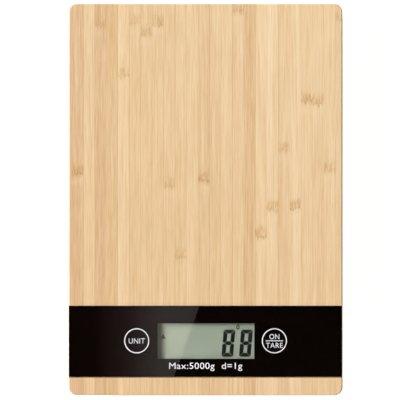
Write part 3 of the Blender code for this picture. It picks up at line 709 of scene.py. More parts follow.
@dataclass(frozen=True)
class Polariser(Mottled):
    """The grey-green face of a reflective liquid-crystal display: matt film over a dull silver mirror."""

    speck: str = "#A7AB99"
    speck_mm: float = 0.3
    speck_depth: float = 0.08
    # the display's darker edge zone at the left, with the soft shadow of the window's edge painted into it as
    # painted shade
    dark_edge_and_shade: str = "#7D8074"
    dark_edge_and_shade_mm: Flat = (-24.0, -26.8)  # where the darker edge zone with its painted shade starts at the left and is full
    mirror: float = 0.6
    cloud_mm: Point = (22.0, 16.0, 22.0)

    def surface(self, tree: NodeTree) -> NodeSocket:
        """Adds the film's nodes.

        Args:
            tree: the material's node tree.

        Returns:
            The shader socket.
        """
        _, colour = self.drift(tree, self.cloud_mm, 1.0)
        grain = self.noise(tree, (self.speck_mm, self.speck_mm, self.speck_mm), 0.0, 0.2, 0.8)
        faint = add_chain(tree, grain, ("ShaderNodeMath", {"operation": "MULTIPLY", 1: self.speck_depth}))
        place = add_node(tree, "ShaderNodeTexCoord").outputs["Object"]
        across = add_node(tree, "ShaderNodeSeparateXYZ", links={0: place}).outputs[0]
        # darker towards the window's left edge: partly the display's own edge zone, partly painted shade of the
        # window's edge
        start, full = (edge * MM for edge in self.dark_edge_and_shade_mm)
        span = {"interpolation_type": "SMOOTHSTEP", "From Min": start, "From Max": full}
        edge_and_shade_share = add_chain(tree, across, ("ShaderNodeMapRange", span))
        for share, code in ((faint, self.speck), (edge_and_shade_share, self.dark_edge_and_shade)):
            tint = {"data_type": "RGBA", 7: linear(code)}
            colour = add_node(tree, "ShaderNodeMix", tint, {0: share, 6: colour}).outputs[2]
        settings = {"Metallic": self.mirror, "Roughness": self.roughness}
        return add_node(tree, "ShaderNodeBsdfPrincipled", settings, {"Base Color": colour}).outputs[0]


@dataclass(frozen=True)
class Striped(Finish):
    """A material of thin layers side by side, such as a conductive rubber strip or a foil grid."""

    light: str
    dark: str
    pitch_mm: float
    axis: Point = (1.0, 0.0, 0.0)
    roughness: float = 0.7
    share: float = 0.5
    edge: float = 0.06  # half of the share that fades from one layer into the next
    relief_mm: float = 0.03

    def surface(self, tree: NodeTree) -> NodeSocket:
        """Adds the layers' nodes.

        Args:
            tree: the material's node tree.

        Returns:
            The shader socket.
        """
        place = add_node(tree, "ShaderNodeTexCoord").outputs["Object"]
        step = add_node(tree, "ShaderNodeVectorMath", {"operation": "DOT_PRODUCT", 1: self.axis}, {0: place})
        layer = add_chain(
            tree,
            step.outputs["Value"],
            ("ShaderNodeMath", {"operation": "DIVIDE", 1: self.pitch_mm * MM}),
            ("ShaderNodeMath", {"operation": "FRACT"}),
            ("ShaderNodeMapRange", {"From Min": self.share - self.edge, "From Max": self.share + self.edge}),
        )
        blend = {"data_type": "RGBA", 6: linear(self.light), 7: linear(self.dark)}
        colour = add_node(tree, "ShaderNodeMix", blend, {0: layer}).outputs[2]
        settings = {"Roughness": self.roughness}
        return self.skin(tree, settings, {"Base Color": colour}, layer, 0.4, self.relief_mm)


@dataclass(frozen=True)
class SolderMask(Finish):
    """Glass-epoxy laminate under green solder mask, with the paler lines of the copper tracks below it."""

    track_mm: float = 1.9
    weave_mm: float = 0.5
    weave_depth: float = 0.25
    relief_mm: float = 0.04
    roughness: float = 0.32

    def surface(self, tree: NodeTree) -> NodeSocket:
        """Adds the laminate's nodes.

        Args:
            tree: the material's node tree.

        Returns:
            The shader socket.
        """
        place = add_node(tree, "ShaderNodeTexCoord").outputs["Object"]
        settings = {
            # four rows to each unit of the pattern
            "Scale": 1 / (self.track_mm * 4 * MM),
            "Mortar Size": 0.045,
            "Mortar Smooth": 0.1,
            "Brick Width": 1.7,
            "Row Height": 0.25,
            "Color1": grey(0.0),
            "Color2": grey(0.0),
            "Mortar": grey(1.0),
            "offset_frequency": 3,
            "squash": 0.6,
            "squash_frequency": 2,
        }
        tracks = add_node(tree, "ShaderNodeTexBrick", settings, {"Vector": place}).outputs[0]
        weave = self.noise(tree, (self.weave_mm, self.weave_mm, self.weave_mm), 2.0)
        blend = {"data_type": "RGBA", 6: linear("#0F5A33"), 7: linear("#2E8A52")}
        colour = add_node(tree, "ShaderNodeMix", blend, {0: tracks}).outputs[2]
        faint = add_chain(tree, weave, ("ShaderNodeMath", {"operation": "MULTIPLY", 1: self.weave_depth}))
        tint = {"data_type": "RGBA", 7: linear("#0A4426")}
        colour = add_node(tree, "ShaderNodeMix", tint, {0: faint, 6: colour}).outputs[2]
        gloss = {"Roughness": self.roughness, "IOR": 1.5}
        return self.skin(tree, gloss, {"Base Color": colour}, tracks, 0.5, self.relief_mm)


@dataclass(frozen=True)
class Foam(Finish):
    """Closed-cell foam tape: pale, dull and pitted with small cells."""

    cell_mm: float = 0.5  # drawn coarser than real cells, so that they show
    pit_mm: float = 0.1

    def surface(self, tree: NodeTree) -> NodeSocket:
        """Adds the foam's nodes.

        Args:
            tree: the material's node tree.

        Returns:
            The shader socket.
        """
        place = add_node(tree, "ShaderNodeTexCoord").outputs["Object"]
        scale = {"Scale": 1 / (self.cell_mm * MM)}
        cells = add_node(tree, "ShaderNodeTexVoronoi", scale, {"Vector": place}).outputs[0]
        blend = {"data_type": "RGBA", 6: linear("#8F8F8A"), 7: linear("#D2D1CB")}
        colour = add_node(tree, "ShaderNodeMix", blend, {0: cells}).outputs[2]
        return self.skin(tree, {"Roughness": 0.85}, {"Base Color": colour}, cells, 0.6, self.pit_mm)


# Pale pressed strips, each of its own tone, some with a brown knuckle: warm, striped and softly satin.
BAMBOO = PressedBamboo(
    "pressed_bamboo",
    (
        Lamella(Tone.DEEP),
        Lamella(Tone.DEEP, 14.8, 1.0),
        Lamella(Tone.CREAM),
        Lamella(Tone.DEEP, 101.5, 0.6),
        Lamella(Tone.AMBER),
        Lamella(Tone.LIGHT, 72.0, 0.6),
        Lamella(Tone.HONEY, 103.0, 0.55),
        Lamella(Tone.HONEY, 96.5, 0.65),
        Lamella(Tone.HONEY, 102.5, 0.8),
        Lamella(Tone.HONEY, 7.5, 0.6),
        Lamella(Tone.HONEY, -34.5, 0.6),
        Lamella(Tone.CREAM),
        Lamella(Tone.TAN, 10.5, 1.0),
        Lamella(Tone.HONEY),
        Lamella(Tone.CREAM),
        Lamella(Tone.CREAM, 110.5, 0.7),
        Lamella(Tone.AMBER),
        Lamella(Tone.LIGHT, -22.0, 0.9),
        Lamella(Tone.PALE, -6.5, 0.8),
        Lamella(Tone.HONEY, 28.5, 0.6),
        Lamella(Tone.PALE, -5.5, 0.9),
        Lamella(Tone.LIGHT, 57.0, 1.0),
        Lamella(Tone.LIGHT, 56.0, 0.8),
        Lamella(Tone.LIGHT, 16.5, 0.8),
        Lamella(Tone.LIGHT, 105.0, 0.5),
    ),
)
# Spark-eroded mould texture: an even black that looks slightly grey where light grazes it.
ABS = Moulded("spark_textured_abs", "#1B1C1E", "#242528", 0.5, 0.45, 0.04)
# Plain moulded wall: a little darker and glossier than the textured one.
ABS_INNER = Moulded("plain_abs", "#141517", "#1D1E20", 0.42, 0.7, 0.015)
# Compression-moulded rubber: dull charcoal without a highlight.
NITRILE = Moulded("nitrile_rubber", "#242424", "#303031", 0.78, 0.6, 0.03)
# Poured or moulded epoxy: nearly black with a smooth gloss.
EPOXY = Moulded("black_epoxy", "#0E0E0F", "#191919", 0.3, 0.8, 0.02)
# Extruded cable sheath: mid grey, waxy, slightly wavy.
GREY_PVC = Moulded("grey_pvc", "#7B7D80", "#6C6E71", 0.48, 0.9, 0.02)
# Extruded wire cover: strong red with a soft shine.
RED_PVC = Moulded("red_pvc", "#B3211B", "#9A1A16", 0.42, 0.9, 0.02)
# Extruded wire cover: soft black.
BLACK_PVC = Moulded("black_pvc", "#17181A", "#212224", 0.42, 0.9, 0.02)
# Fired ceramic of small chip capacitors: earthy brown, faintly speckled.
CERAMIC = Moulded("chip_ceramic", "#6E5A48", "#5C4A3A", 0.45, 0.4, 0.02)
# Screen-printed ink under glass: flat bluish white with crisp edges.
WHITE_INK = Moulded("white_screen_ink", "#E2DAE6", "#D8D1DC", 0.6, 0.35, 0.0)
# A driven segment of liquid crystal: it stops the light, so that it looks blue-black.
SEGMENT = Moulded("liquid_crystal_segment", "#030609", "#060A0D", 0.35, 0.5, 0.0)
# A weaker driven mark: green-black.
FAINT_SEGMENT = Moulded("liquid_crystal_mark", "#1C221D", "#242A25", 0.35, 0.5, 0.0)
# Reflowed solder: bright and slightly frosted.
SOLDER = Metal("tin_solder", "#C9CACB", "#A9AAAB", 0.3, (0.6, 0.6, 0.6))
# Zinc-plated rolled steel: cool grey with soft streaks.
ZINC = Metal("zinc_plated_steel", "#B8B9B4", "#92938E", 0.33, (0.6, 6.0, 0.6))
# Nickel-plated spring strip: warmer and brighter, drawn lengthwise.
NICKEL = Metal("nickel_plated_strip", "#C6BFAE", "#A29C8C", 0.27, (0.4, 8.0, 0.4))
# Face-milled aluminium: pale, with fine tool marks across the bar.
ALUMINIUM = Metal("machined_aluminium", "#CDCFD2", "#A7A9AD", 0.32, (7.0, 0.35, 7.0), 0.015)
# Silvered polyester film: smooth, pale and mirror-like.
SILVER_FILM = Metal("silvered_polyester", "#D5D8D4", "#C2C5C1", 0.24, (3.0, 3.0, 3.0))
# Foil grid on amber film: copper-brown lines, drawn coarser than real ones so that they show.
GAUGE = Striped("constantan_on_polyimide", "#B87320", "#7E4A10", 0.8, (0.0, 1.0, 0.0), 0.35, 0.55)
# Carbon and plain silicone in turn: a grey and black barcode.
ZEBRA = Striped("layered_silicone_connector", "#8E8B8D", "#1A191B", 0.5)
# Acrylic foam tape: dull off-white with small pits.
TAPE = Foam("acrylic_foam_tape")
# Polished float glass: a clear, sharp mirror.
GLASS = ClearGlass("soda_lime_glass")
# Ink wetted to the glass: a deep warm black with no shine of its own.
BLACK_INK = BackInk("black_back_ink", "#070302", "#0B0503")
# Matt polariser over silver: calm grey-green.
POLARISER = Polariser("polariser_film", "#CBCFBF", "#C3C7B7", 0.03)
# Solder mask over tracks: glossy green with paler lines.
LAMINATE = SolderMask("solder_mask_laminate")


# ------------------------------------------------------------------ making pieces


class Body(Enum):
    """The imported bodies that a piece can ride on."""

    BASE = "base"
    PLATFORM = "platform"
    DOOR = "battery_door"


class HeadSide(Enum):
    """Which way a screw's head points, as its turn about X."""

    DOWN = 0.0
    UP = math.pi


@dataclass(frozen=True)
class Box:
    """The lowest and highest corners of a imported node."""

    low: Vector
    high: Vector

    @property
    def middle(self) -> Vector:
        """Gives the box's centre."""
        return (self.low + self.high) / 2

    @property
    def size(self) -> Vector:
        """Gives the box's lengths."""
        return self.high - self.low


def box_of(name: str) -> Box:
    """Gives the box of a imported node."""
    return Box(*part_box(name))


def mesh_from(work: BMesh, name: str) -> Mesh:
    """Merges doubles, points the faces outwards and turns the work into a mesh.

    Args:
        work: the shape. It is freed.
        name: the mesh's name.

    Returns:
        The mesh, shaded smooth up to its sharp edges.
    """
    bmesh.ops.remove_doubles(work, verts=work.verts, dist=1e-7)
    bmesh.ops.recalc_face_normals(work, faces=work.faces)
    mesh = bpy.data.meshes.new(name)
    work.to_mesh(mesh)
    work.free()
    mesh.shade_smooth()
    mesh.set_sharp_from_angle(angle=SMOOTH_UNDER)
    return mesh


def as_object(mesh: Mesh, name: str, finish: Finish | None = None) -> Object:
    """Puts a mesh in the scene at the origin.

    Args:
        mesh: the finished mesh, with its place in it.
        name: the piece's name.
        finish: its finish, or None where the mesh already has one.

    Returns:
        The object.
    """
    piece = bpy.data.objects.new(name, mesh)
    bpy.context.scene.collection.objects.link(piece)
    if finish:
        mesh.materials.clear()
        mesh.materials.append(finish.material())
    return piece


def add_slab(work: BMesh, outline: Sequence[Flat], bottom: float, top: float) -> None:
    """Adds a closed flat slab to a shape.

    Args:
        work: the shape.
        outline: its corners in order, in metres.
        bottom: the height of its lower face.
        top: the height of its upper face.
    """
    lower = [work.verts.new((x, y, bottom)) for x, y in outline]
    upper = [work.verts.new((x, y, top)) for x, y in outline]
    work.faces.new(list(reversed(lower)))
    work.faces.new(upper)
    for start in range(len(outline)):
        end = (start + 1) % len(outline)
        work.faces.new((lower[start], lower[end], upper[end], upper[start]))


def new_tree(name: str, sizes: dict[str, str]) -> tuple[NodeTree, Node]:
    """Starts a geometry tree that takes and gives a mesh.

    Args:
        name: the tree's name.
        sizes: its other inputs, each with its socket type.

    Returns:
        The tree and the node that gives its inputs.
    """
    tree = bpy.data.node_groups.new(name, "GeometryNodeTree")
    tree.interface.new_socket("Geometry", in_out="INPUT", socket_type="NodeSocketGeometry")
    for size, kind in {**sizes, "Finish": "NodeSocketMaterial"}.items():
        tree.interface.new_socket(size, in_out="INPUT", socket_type=kind)
    tree.interface.new_socket("Geometry", in_out="OUTPUT", socket_type="NodeSocketGeometry")
    return tree, add_node(tree, "NodeGroupInput")


def close_tree(tree: NodeTree, given: Node, copy: NodeSocket, **feeds: NodeSocket) -> None:
    """Ends a tree: each point gets a copy, and the copies become real and get the finish.

    Args:
        tree: the geometry tree.
        given: the node that gives its inputs.
        copy: the socket with the shape to repeat.
        feeds: the sockets for the copies' other inputs, such as points that aren't the given mesh.
    """
    links = {"Points": given.outputs["Geometry"], "Instance": copy, **feeds}
    copies = add_node(tree, "GeometryNodeInstanceOnPoints", {}, links).outputs[0]
    real = add_node(tree, "GeometryNodeRealizeInstances", {}, {0: copies}).outputs[0]
    links = {"Geometry": real, "Material": given.outputs["Finish"]}
    dressed = add_node(tree, "GeometryNodeSetMaterial", {}, links)
    add_node(tree, "NodeGroupOutput", {}, {0: dressed.outputs[0]})


def run_tree(tree: NodeTree, start: Mesh, name: str, finish: Finish, sizes: dict[str, Any]) -> Object:
    """Runs a geometry tree on a mesh and keeps the plain result.

    Args:
        tree: the geometry tree.
        start: the mesh that it works on.
        name: the piece's name.
        finish: the piece's finish.
        sizes: the values of the tree's named inputs.

    Returns:
        The piece, with no modifier left on it.
    """
    piece = as_object(start, name)
    step = piece.modifiers.new("shape", "NODES")
    step.node_group = tree
    values = {**sizes, "Finish": finish.material()}
    for item in tree.interface.items_tree:
        if item.item_type == "SOCKET" and item.in_out == "INPUT" and item.name in values:
            step[item.identifier] = values[item.name]
    graph = bpy.context.evaluated_depsgraph_get()
    made = bpy.data.meshes.new_from_object(piece.evaluated_get(graph), depsgraph=graph)
    piece.modifiers.clear()
    piece.data = made
    made.name = name
    made.shade_smooth()
    made.set_sharp_from_angle(angle=SMOOTH_UNDER)
    return piece


def points_mesh(points: Sequence[Sequence[float]], name: str) -> Mesh:
    """Makes a mesh of loose points for a tree to put copies on.

    Args:
        points: the places, in metres.
        name: the mesh's name.

    Returns:
        The mesh.
    """
    mesh = bpy.data.meshes.new(name)
    mesh.from_pydata([tuple(point) for point in points], [], [])
    return mesh


def screw_tree() -> NodeTree:
    """Builds the tree that puts a cross-recessed screw on each point.

    Returns:
        A tree with the inputs Head Radius, Head Height, Shank Radius, Shank Length, Recess, Pitch Turns and
        Turn.
    """
    floats = ("Head Radius", "Head Height", "Shank Radius", "Shank Length", "Recess", "Pitch Turns", "Turn")
    tree, given = new_tree("cross_recess_screw", dict.fromkeys(floats, "NodeSocketFloat"))
    sizes = given.outputs
    shares = {
        # each of the screw's own sizes, as a share of an input
        "half head": ("Head Height", 0.5),
        "crown": ("Head Radius", 0.74),
        "arm width": ("Recess", 0.34),
        "arm length": ("Recess", 2.0),
        "sink": ("Head Height", -1.0),
        "core": ("Shank Radius", 0.8),
        "tip": ("Shank Radius", 0.45),
        "wire": ("Shank Radius", 0.2),
        "rise": ("Shank Length", 0.86),
    }
    own = {}
    for name, (size, share) in shares.items():
        own[name] = add_chain(tree, sizes[size], ("ShaderNodeMath", {"operation": "MULTIPLY", 1: share}))
    rounds = []
    for low_radius in (own["crown"], sizes["Head Radius"]):
        links = {"Radius Top": sizes["Head Radius"], "Radius Bottom": low_radius, "Depth": own["half head"]}
        rounds.append(add_node(tree, "GeometryNodeMeshCone", {"Vertices": 32}, links).outputs[0])
    crown, drum = rounds
    lift = add_node(tree, "ShaderNodeCombineXYZ", {}, {"Z": own["half head"]}).outputs[0]
    drum_up = add_node(tree, "GeometryNodeTransform", {}, {"Geometry": drum, "Translation": lift})
    head = add_node(tree, "GeometryNodeMeshBoolean", {"operation": "UNION"}, {"Mesh 2": crown})
    tree.links.new(drum_up.outputs[0], head.inputs["Mesh 2"])
    cut = add_node(tree, "GeometryNodeMeshBoolean", {"operation": "DIFFERENCE"}, {"Mesh 1": head.outputs[0]})
    width, length = own["arm width"], own["arm length"]
    for wide, deep in ((length, width), (width, length)):
        size = add_node(tree, "ShaderNodeCombineXYZ", {}, {"X": wide, "Y": deep, "Z": sizes["Head Height"]})
        arm = add_node(tree, "GeometryNodeMeshCube", {}, {"Size": size.outputs[0]})
        tree.links.new(arm.outputs[0], cut.inputs["Mesh 2"])
    down = add_node(tree, "ShaderNodeCombineXYZ", {}, {"Z": own["sink"]}).outputs[0]
    seated = add_node(tree, "GeometryNodeTransform", {}, {"Geometry": cut.outputs[0], "Translation": down})
    links = {"Radius Top": own["tip"], "Radius Bottom": own["core"], "Depth": sizes["Shank Length"]}
    shank = add_node(tree, "GeometryNodeMeshCone", {"Vertices": 20}, links)
    links = {"Rotations": sizes["Pitch Turns"], "Start Radius": own["core"], "End Radius": own["tip"]}
    links["Height"] = own["rise"]
    # the thread's ridge is drawn coarse, with fewer and thicker turns than a real one, so that it shows
    path = add_node(tree, "GeometryNodeCurveSpiral", {"Resolution": 16}, links)
    ridge = add_node(tree, "GeometryNodeCurvePrimitiveCircle", {"Resolution": 4}, {"Radius": own["wire"]})
    links = {"Curve": path.outputs[0], "Profile Curve": ridge.outputs[0]}
    thread = add_node(tree, "GeometryNodeCurveToMesh", {"Fill Caps": True}, links)
    whole = add_node(tree, "GeometryNodeJoinGeometry")
    for part in (seated, shank, thread):
        tree.links.new(part.outputs[0], whole.inputs[0])
    turn = add_node(tree, "ShaderNodeCombineXYZ", {}, {"X": sizes["Turn"]}).outputs[0]
    close_tree(tree, given, whole.outputs[0], Rotation=turn)
    return tree


def block_tree() -> NodeTree:
    """Builds the tree that puts a small block on each point.

    Returns:
        A tree with the input Size.
    """
    tree, given = new_tree("block_on_points", {"Size": "NodeSocketVector"})
    block = add_node(tree, "GeometryNodeMeshCube", {}, {"Size": given.outputs["Size"]})
    close_tree(tree, given, block.outputs[0])
    return tree


def dome_tree() -> NodeTree:
    """Builds the tree that puts a flattened drop, such as solder, on each point.

    Returns:
        A tree with the inputs Radius and Flatness.
    """
    tree, given = new_tree("drop_on_points", {"Radius": "NodeSocketFloat", "Flatness": "NodeSocketFloat"})
    links = {"Radius": given.outputs["Radius"]}
    drop = add_node(tree, "GeometryNodeMeshUVSphere", {"Segments": 12, "Rings": 8}, links)
    scale = add_node(tree, "ShaderNodeCombineXYZ", {"X": 1.0, "Y": 1.0}, {"Z": given.outputs["Flatness"]})
    close_tree(tree, given, drop.outputs[0], Scale=scale.outputs[0])
    return tree


def ring_tree() -> NodeTree:
    """Builds the tree that puts a flat printed ring on each point.

    Returns:
        A tree with the inputs Radius, Line and Thickness.
    """
    tree, given = new_tree("ring_on_points", dict.fromkeys(("Radius", "Line", "Thickness"), "NodeSocketFloat"))
    links = {"Radius": given.outputs["Radius"]}
    circle = add_node(tree, "GeometryNodeCurvePrimitiveCircle", {"Resolution": 96}, links)
    links = {"Width": given.outputs["Line"], "Height": given.outputs["Thickness"]}
    strip = add_node(tree, "GeometryNodeCurvePrimitiveQuadrilateral", {}, links)
    links = {"Curve": circle.outputs[0], "Profile Curve": strip.outputs[0]}
    ring = add_node(tree, "GeometryNodeCurveToMesh", {}, links)
    close_tree(tree, given, ring.outputs[0])
    return tree


def row_tree() -> NodeTree:
    """Builds the tree that repeats the given mesh in a row.

    Returns:
        A tree with the inputs Count and Step.
    """
    tree, given = new_tree("row_of_copies", {"Count": "NodeSocketInt", "Step": "NodeSocketVector"})
    links = {"Count": given.outputs["Count"], "Offset": given.outputs["Step"]}
    row = add_node(tree, "GeometryNodeMeshLine", {"mode": "OFFSET"}, links)
    close_tree(tree, given, given.outputs["Geometry"], Points=row.outputs[0])
    return tree


def foot_tree() -> NodeTree:
    """Builds the tree that puts a ringed rubber foot on each point.

    Returns:
        A tree with the inputs Radius, Height and Ring.
    """
    tree, given = new_tree("ringed_foot", dict.fromkeys(("Radius", "Height", "Ring"), "NodeSocketFloat"))
    radius, height, ring = (given.outputs[name] for name in ("Radius", "Height", "Ring"))
    collar = add_node(tree, "ShaderNodeMath", {"operation": "SUBTRACT"}, {0: height, 1: ring}).outputs[0]
    # shares of the foot's radius: its narrow lower end, and the middles of its rings
    waist_share, ring_shares = 0.93, (0.25, 0.52, 0.82)
    waist = add_chain(tree, radius, ("ShaderNodeMath", {"operation": "MULTIPLY", 1: waist_share}))
    links = {"Radius Top": radius, "Radius Bottom": waist, "Depth": collar}
    body = add_node(tree, "GeometryNodeMeshCone", {"Vertices": 48}, links)
    lift = add_node(tree, "ShaderNodeCombineXYZ", {}, {"Z": ring}).outputs[0]
    raised = add_node(tree, "GeometryNodeTransform", {}, {"Geometry": body.outputs[0], "Translation": lift})
    whole = add_node(tree, "GeometryNodeJoinGeometry")
    tree.links.new(raised.outputs[0], whole.inputs[0])
    profile = add_node(tree, "GeometryNodeCurvePrimitiveCircle", {"Resolution": 10}, {"Radius": ring})
    for share in ring_shares:
        reach = add_chain(tree, radius, ("ShaderNodeMath", {"operation": "MULTIPLY", 1: share}))
        path = add_node(tree, "GeometryNodeCurvePrimitiveCircle", {"Resolution": 48}, {"Radius": reach})
        links = {"Curve": path.outputs[0], "Profile Curve": profile.outputs[0]}
        rib = add_node(tree, "GeometryNodeCurveToMesh", {}, links)
        up = add_node(tree, "GeometryNodeTransform", {}, {"Geometry": rib.outputs[0], "Translation": lift})
        tree.links.new(up.outputs[0], whole.inputs[0])
    close_tree(tree, given, whole.outputs[0])
    return tree


@dataclass
class SubAssembly:
    """A group of pieces that are made and dressed together."""

    nodes: dict[str, Object]

    def build(self) -> None:
        """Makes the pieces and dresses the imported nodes."""
        raise NotImplementedError

    def dress(self, finish: Finish, *names: str) -> None:
        """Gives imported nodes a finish.

        Args:
            finish: the finish.
            names: the nodes' names.
        """
        for name in names:
            for place in self.nodes[name].material_slots:
                place.material = finish.material()
            LOG.info("%s: %s", name, finish.name)

    def keep(self, piece: Object, body: Body, slot: str, *stands_for: str) -> Object:
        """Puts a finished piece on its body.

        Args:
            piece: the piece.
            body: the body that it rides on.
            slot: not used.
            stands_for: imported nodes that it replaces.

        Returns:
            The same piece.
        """
        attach(piece, body.value)
        if stands_for:
            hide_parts(*stands_for)
        LOG.info("%s: %d faces on %s", piece.name, len(piece.data.polygons), body.value)
        return piece


@dataclass(frozen=True)
class ScrewKind:
    """One kind of screw. Its head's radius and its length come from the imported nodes."""

    name: str
    count: int
    head_mm: float  # height of the head
    shank_mm: float  # radius over the thread
    turns: float  # of the thread
    side: HeadSide
    body: Body


@dataclass
class Screws(SubAssembly):
    """All the screws, each kind as one piece."""

    kinds: tuple[ScrewKind, ...] = (
        ScrewKind("circuit_screw", 4, 0.9, 0.9, 4.0, HeadSide.DOWN, Body.PLATFORM),
        ScrewKind("frame_screw", 6, 1.0, 1.1, 5.0, HeadSide.DOWN, Body.PLATFORM),
        ScrewKind("bracket_screw", 4, 1.0, 1.1, 5.0, HeadSide.DOWN, Body.PLATFORM),
        ScrewKind("live_end_screw", 2, 1.4, 1.7, 7.0, HeadSide.UP, Body.PLATFORM),
        ScrewKind("fixed_end_screw", 2, 0.9, 1.7, 8.0, HeadSide.DOWN, Body.BASE),
    )
    recess: float = 0.34  # length of the cross from its middle, as a share of the head's width

    def build(self) -> None:
        """Makes each kind of screw and replaces the plain ones."""
        tree = screw_tree()
        for kind in self.kinds:
            names = [f"{kind.name}_{number}" for number in range(1, kind.count + 1)]
            boxes = [box_of(one) for one in names]
            head = kind.head_mm * MM
            places = []
            for box in boxes:
                seat = box.low.z + head if kind.side is HeadSide.DOWN else box.high.z - head
                places.append((box.middle.x, box.middle.y, seat))
            sizes = {
                "Head Radius": boxes[0].size.x / 2,
                "Head Height": head,
                "Shank Radius": kind.shank_mm * MM,
                "Shank Length": boxes[0].size.z - head,
                "Recess": boxes[0].size.x * self.recess,
                "Pitch Turns": kind.turns,
                "Turn": kind.side.value,
            }
            piece = run_tree(tree, points_mesh(places, kind.name), f"{kind.name}s", ZINC, sizes)
            self.keep(piece, kind.body, "zinc_steel", *names)


@dataclass
class WeighingBoard(SubAssembly):
    """The bamboo board."""

    def build(self) -> None:
        """Dresses the board."""
        self.dress(BAMBOO, "platform_board")


@dataclass
class Legend:
    """A line of printed text on the back of the glass."""

    text: str
    left_mm: float
    right_mm: float
    baseline_mm: float
    cap_mm: float
    weight: float = -0.006  # how far the strokes are fattened, and below zero thinned
    spacing: float = 1.06

    def outline(self, body: str) -> Mesh:
        """Makes text as a closed solid of height 1.

        Args:
            body: the words.

        Returns:
            The mesh, with its baseline at y = 0.
        """
        curve = bpy.data.curves.new("legend", "FONT")
        curve.body = body
        curve.offset = self.weight
        curve.extrude = 0.5
        curve.resolution_u = 4
        curve.space_character = self.spacing
        holder = bpy.data.objects.new("legend", curve)
        bpy.context.scene.collection.objects.link(holder)
        graph = bpy.context.evaluated_depsgraph_get()
        mesh = bpy.data.meshes.new_from_object(holder.evaluated_get(graph), depsgraph=graph)
        bpy.data.objects.remove(holder)
        return mesh

    def add_to(self, work: BMesh, bottom: float, top: float) -> None:
        """Adds the text to a shape at its real size.

        Args:
            work: the shape.
            bottom: the height of the ink's lower face.
            top: the height of its upper face.
        """
        cap = max(vertex.co.y for vertex in self.outline("H").vertices)
        mesh = self.outline(self.text)
        across = [vertex.co.x for vertex in mesh.vertices]
        stretch = (self.right_mm - self.left_mm) * MM / (max(across) - min(across))
        for vertex in mesh.vertices:
            vertex.co = (
                self.left_mm * MM + (vertex.co.x - min(across)) * stretch,
                self.baseline_mm * MM + vertex.co.y * self.cap_mm * MM / cap,
                bottom + (vertex.co.z + 0.5) * (top - bottom),
            )
        work.from_mesh(mesh)
        bpy.data.meshes.remove(mesh)


@dataclass
class DisplayBand(SubAssembly):
    """The glass band with its black film, tape and printed keys."""

    ink_mm: float = 0.04
    ring_radius_mm: float = 7.05
    ring_line_mm: float = 0.52
    bar_mm: Flat = (10.2, 0.4)  # the line between the tare key's two words

    def build(self) -> None:
        """Dresses the band and prints its keys and capacity line."""
        self.dress(GLASS, "display_glass")
        self.dress(BLACK_INK, "display_mask")
        self.dress(TAPE, "glass_tape")
        gap_low, gap_high = box_of("display_mask").high.z, box_of("display_glass").low.z
        middle = (gap_low + gap_high) / 2
        bottom, top = middle - self.ink_mm * MM / 2, middle + self.ink_mm * MM / 2
        unit = box_of("unit_touch_spring").middle
        tare = box_of("tare_touch_spring").middle
        sizes_mm = {"Radius": self.ring_radius_mm, "Line": self.ring_line_mm, "Thickness": self.ink_mm}
        sizes = {name: size * MM for name, size in sizes_mm.items()}
        keys = points_mesh([(unit.x, unit.y, middle), (tare.x, tare.y, middle)], "keys")
        rings = run_tree(ring_tree(), keys, "key_rings", WHITE_INK, sizes)
        self.keep(rings, Body.PLATFORM, "black_film")
        left, right, row = unit.x / MM, tare.x / MM, unit.y / MM
        words = {
            "unit_legend": [Legend("UNIT", left - 4.65, left + 4.75, row - 1.6, 3.05)],
            "tare_legend": [
                Legend("ON", right - 2.9, right + 2.9, row + 0.95, 3.0),
                Legend("TARE", right - 4.9, right + 4.9, row - 4.15, 2.95),
            ],
            "capacity_legend": [
                Legend("Max:5000g", -21.3, 5.3, -99.4, 3.6, -0.002),
                Legend("d=1g", 9.6, 21.6, -99.4, 3.6, -0.002),
            ],
        }
        for name, legends in words.items():
            work = bmesh.new()
            for legend in legends:
                legend.add_to(work, bottom, top)
            if name == "tare_legend":
                wide, tall = (size * MM / 2 for size in self.bar_mm)
                x, y = tare.x, tare.y
                low, high = y - tall, y + tall
                corners = [(x - wide, low), (x + wide, low), (x + wide, high), (x - wide, high)]
                add_slab(work, corners, bottom, top)
            piece = as_object(mesh_from(work, name), name, WHITE_INK)
            self.keep(piece, Body.PLATFORM, "black_film")


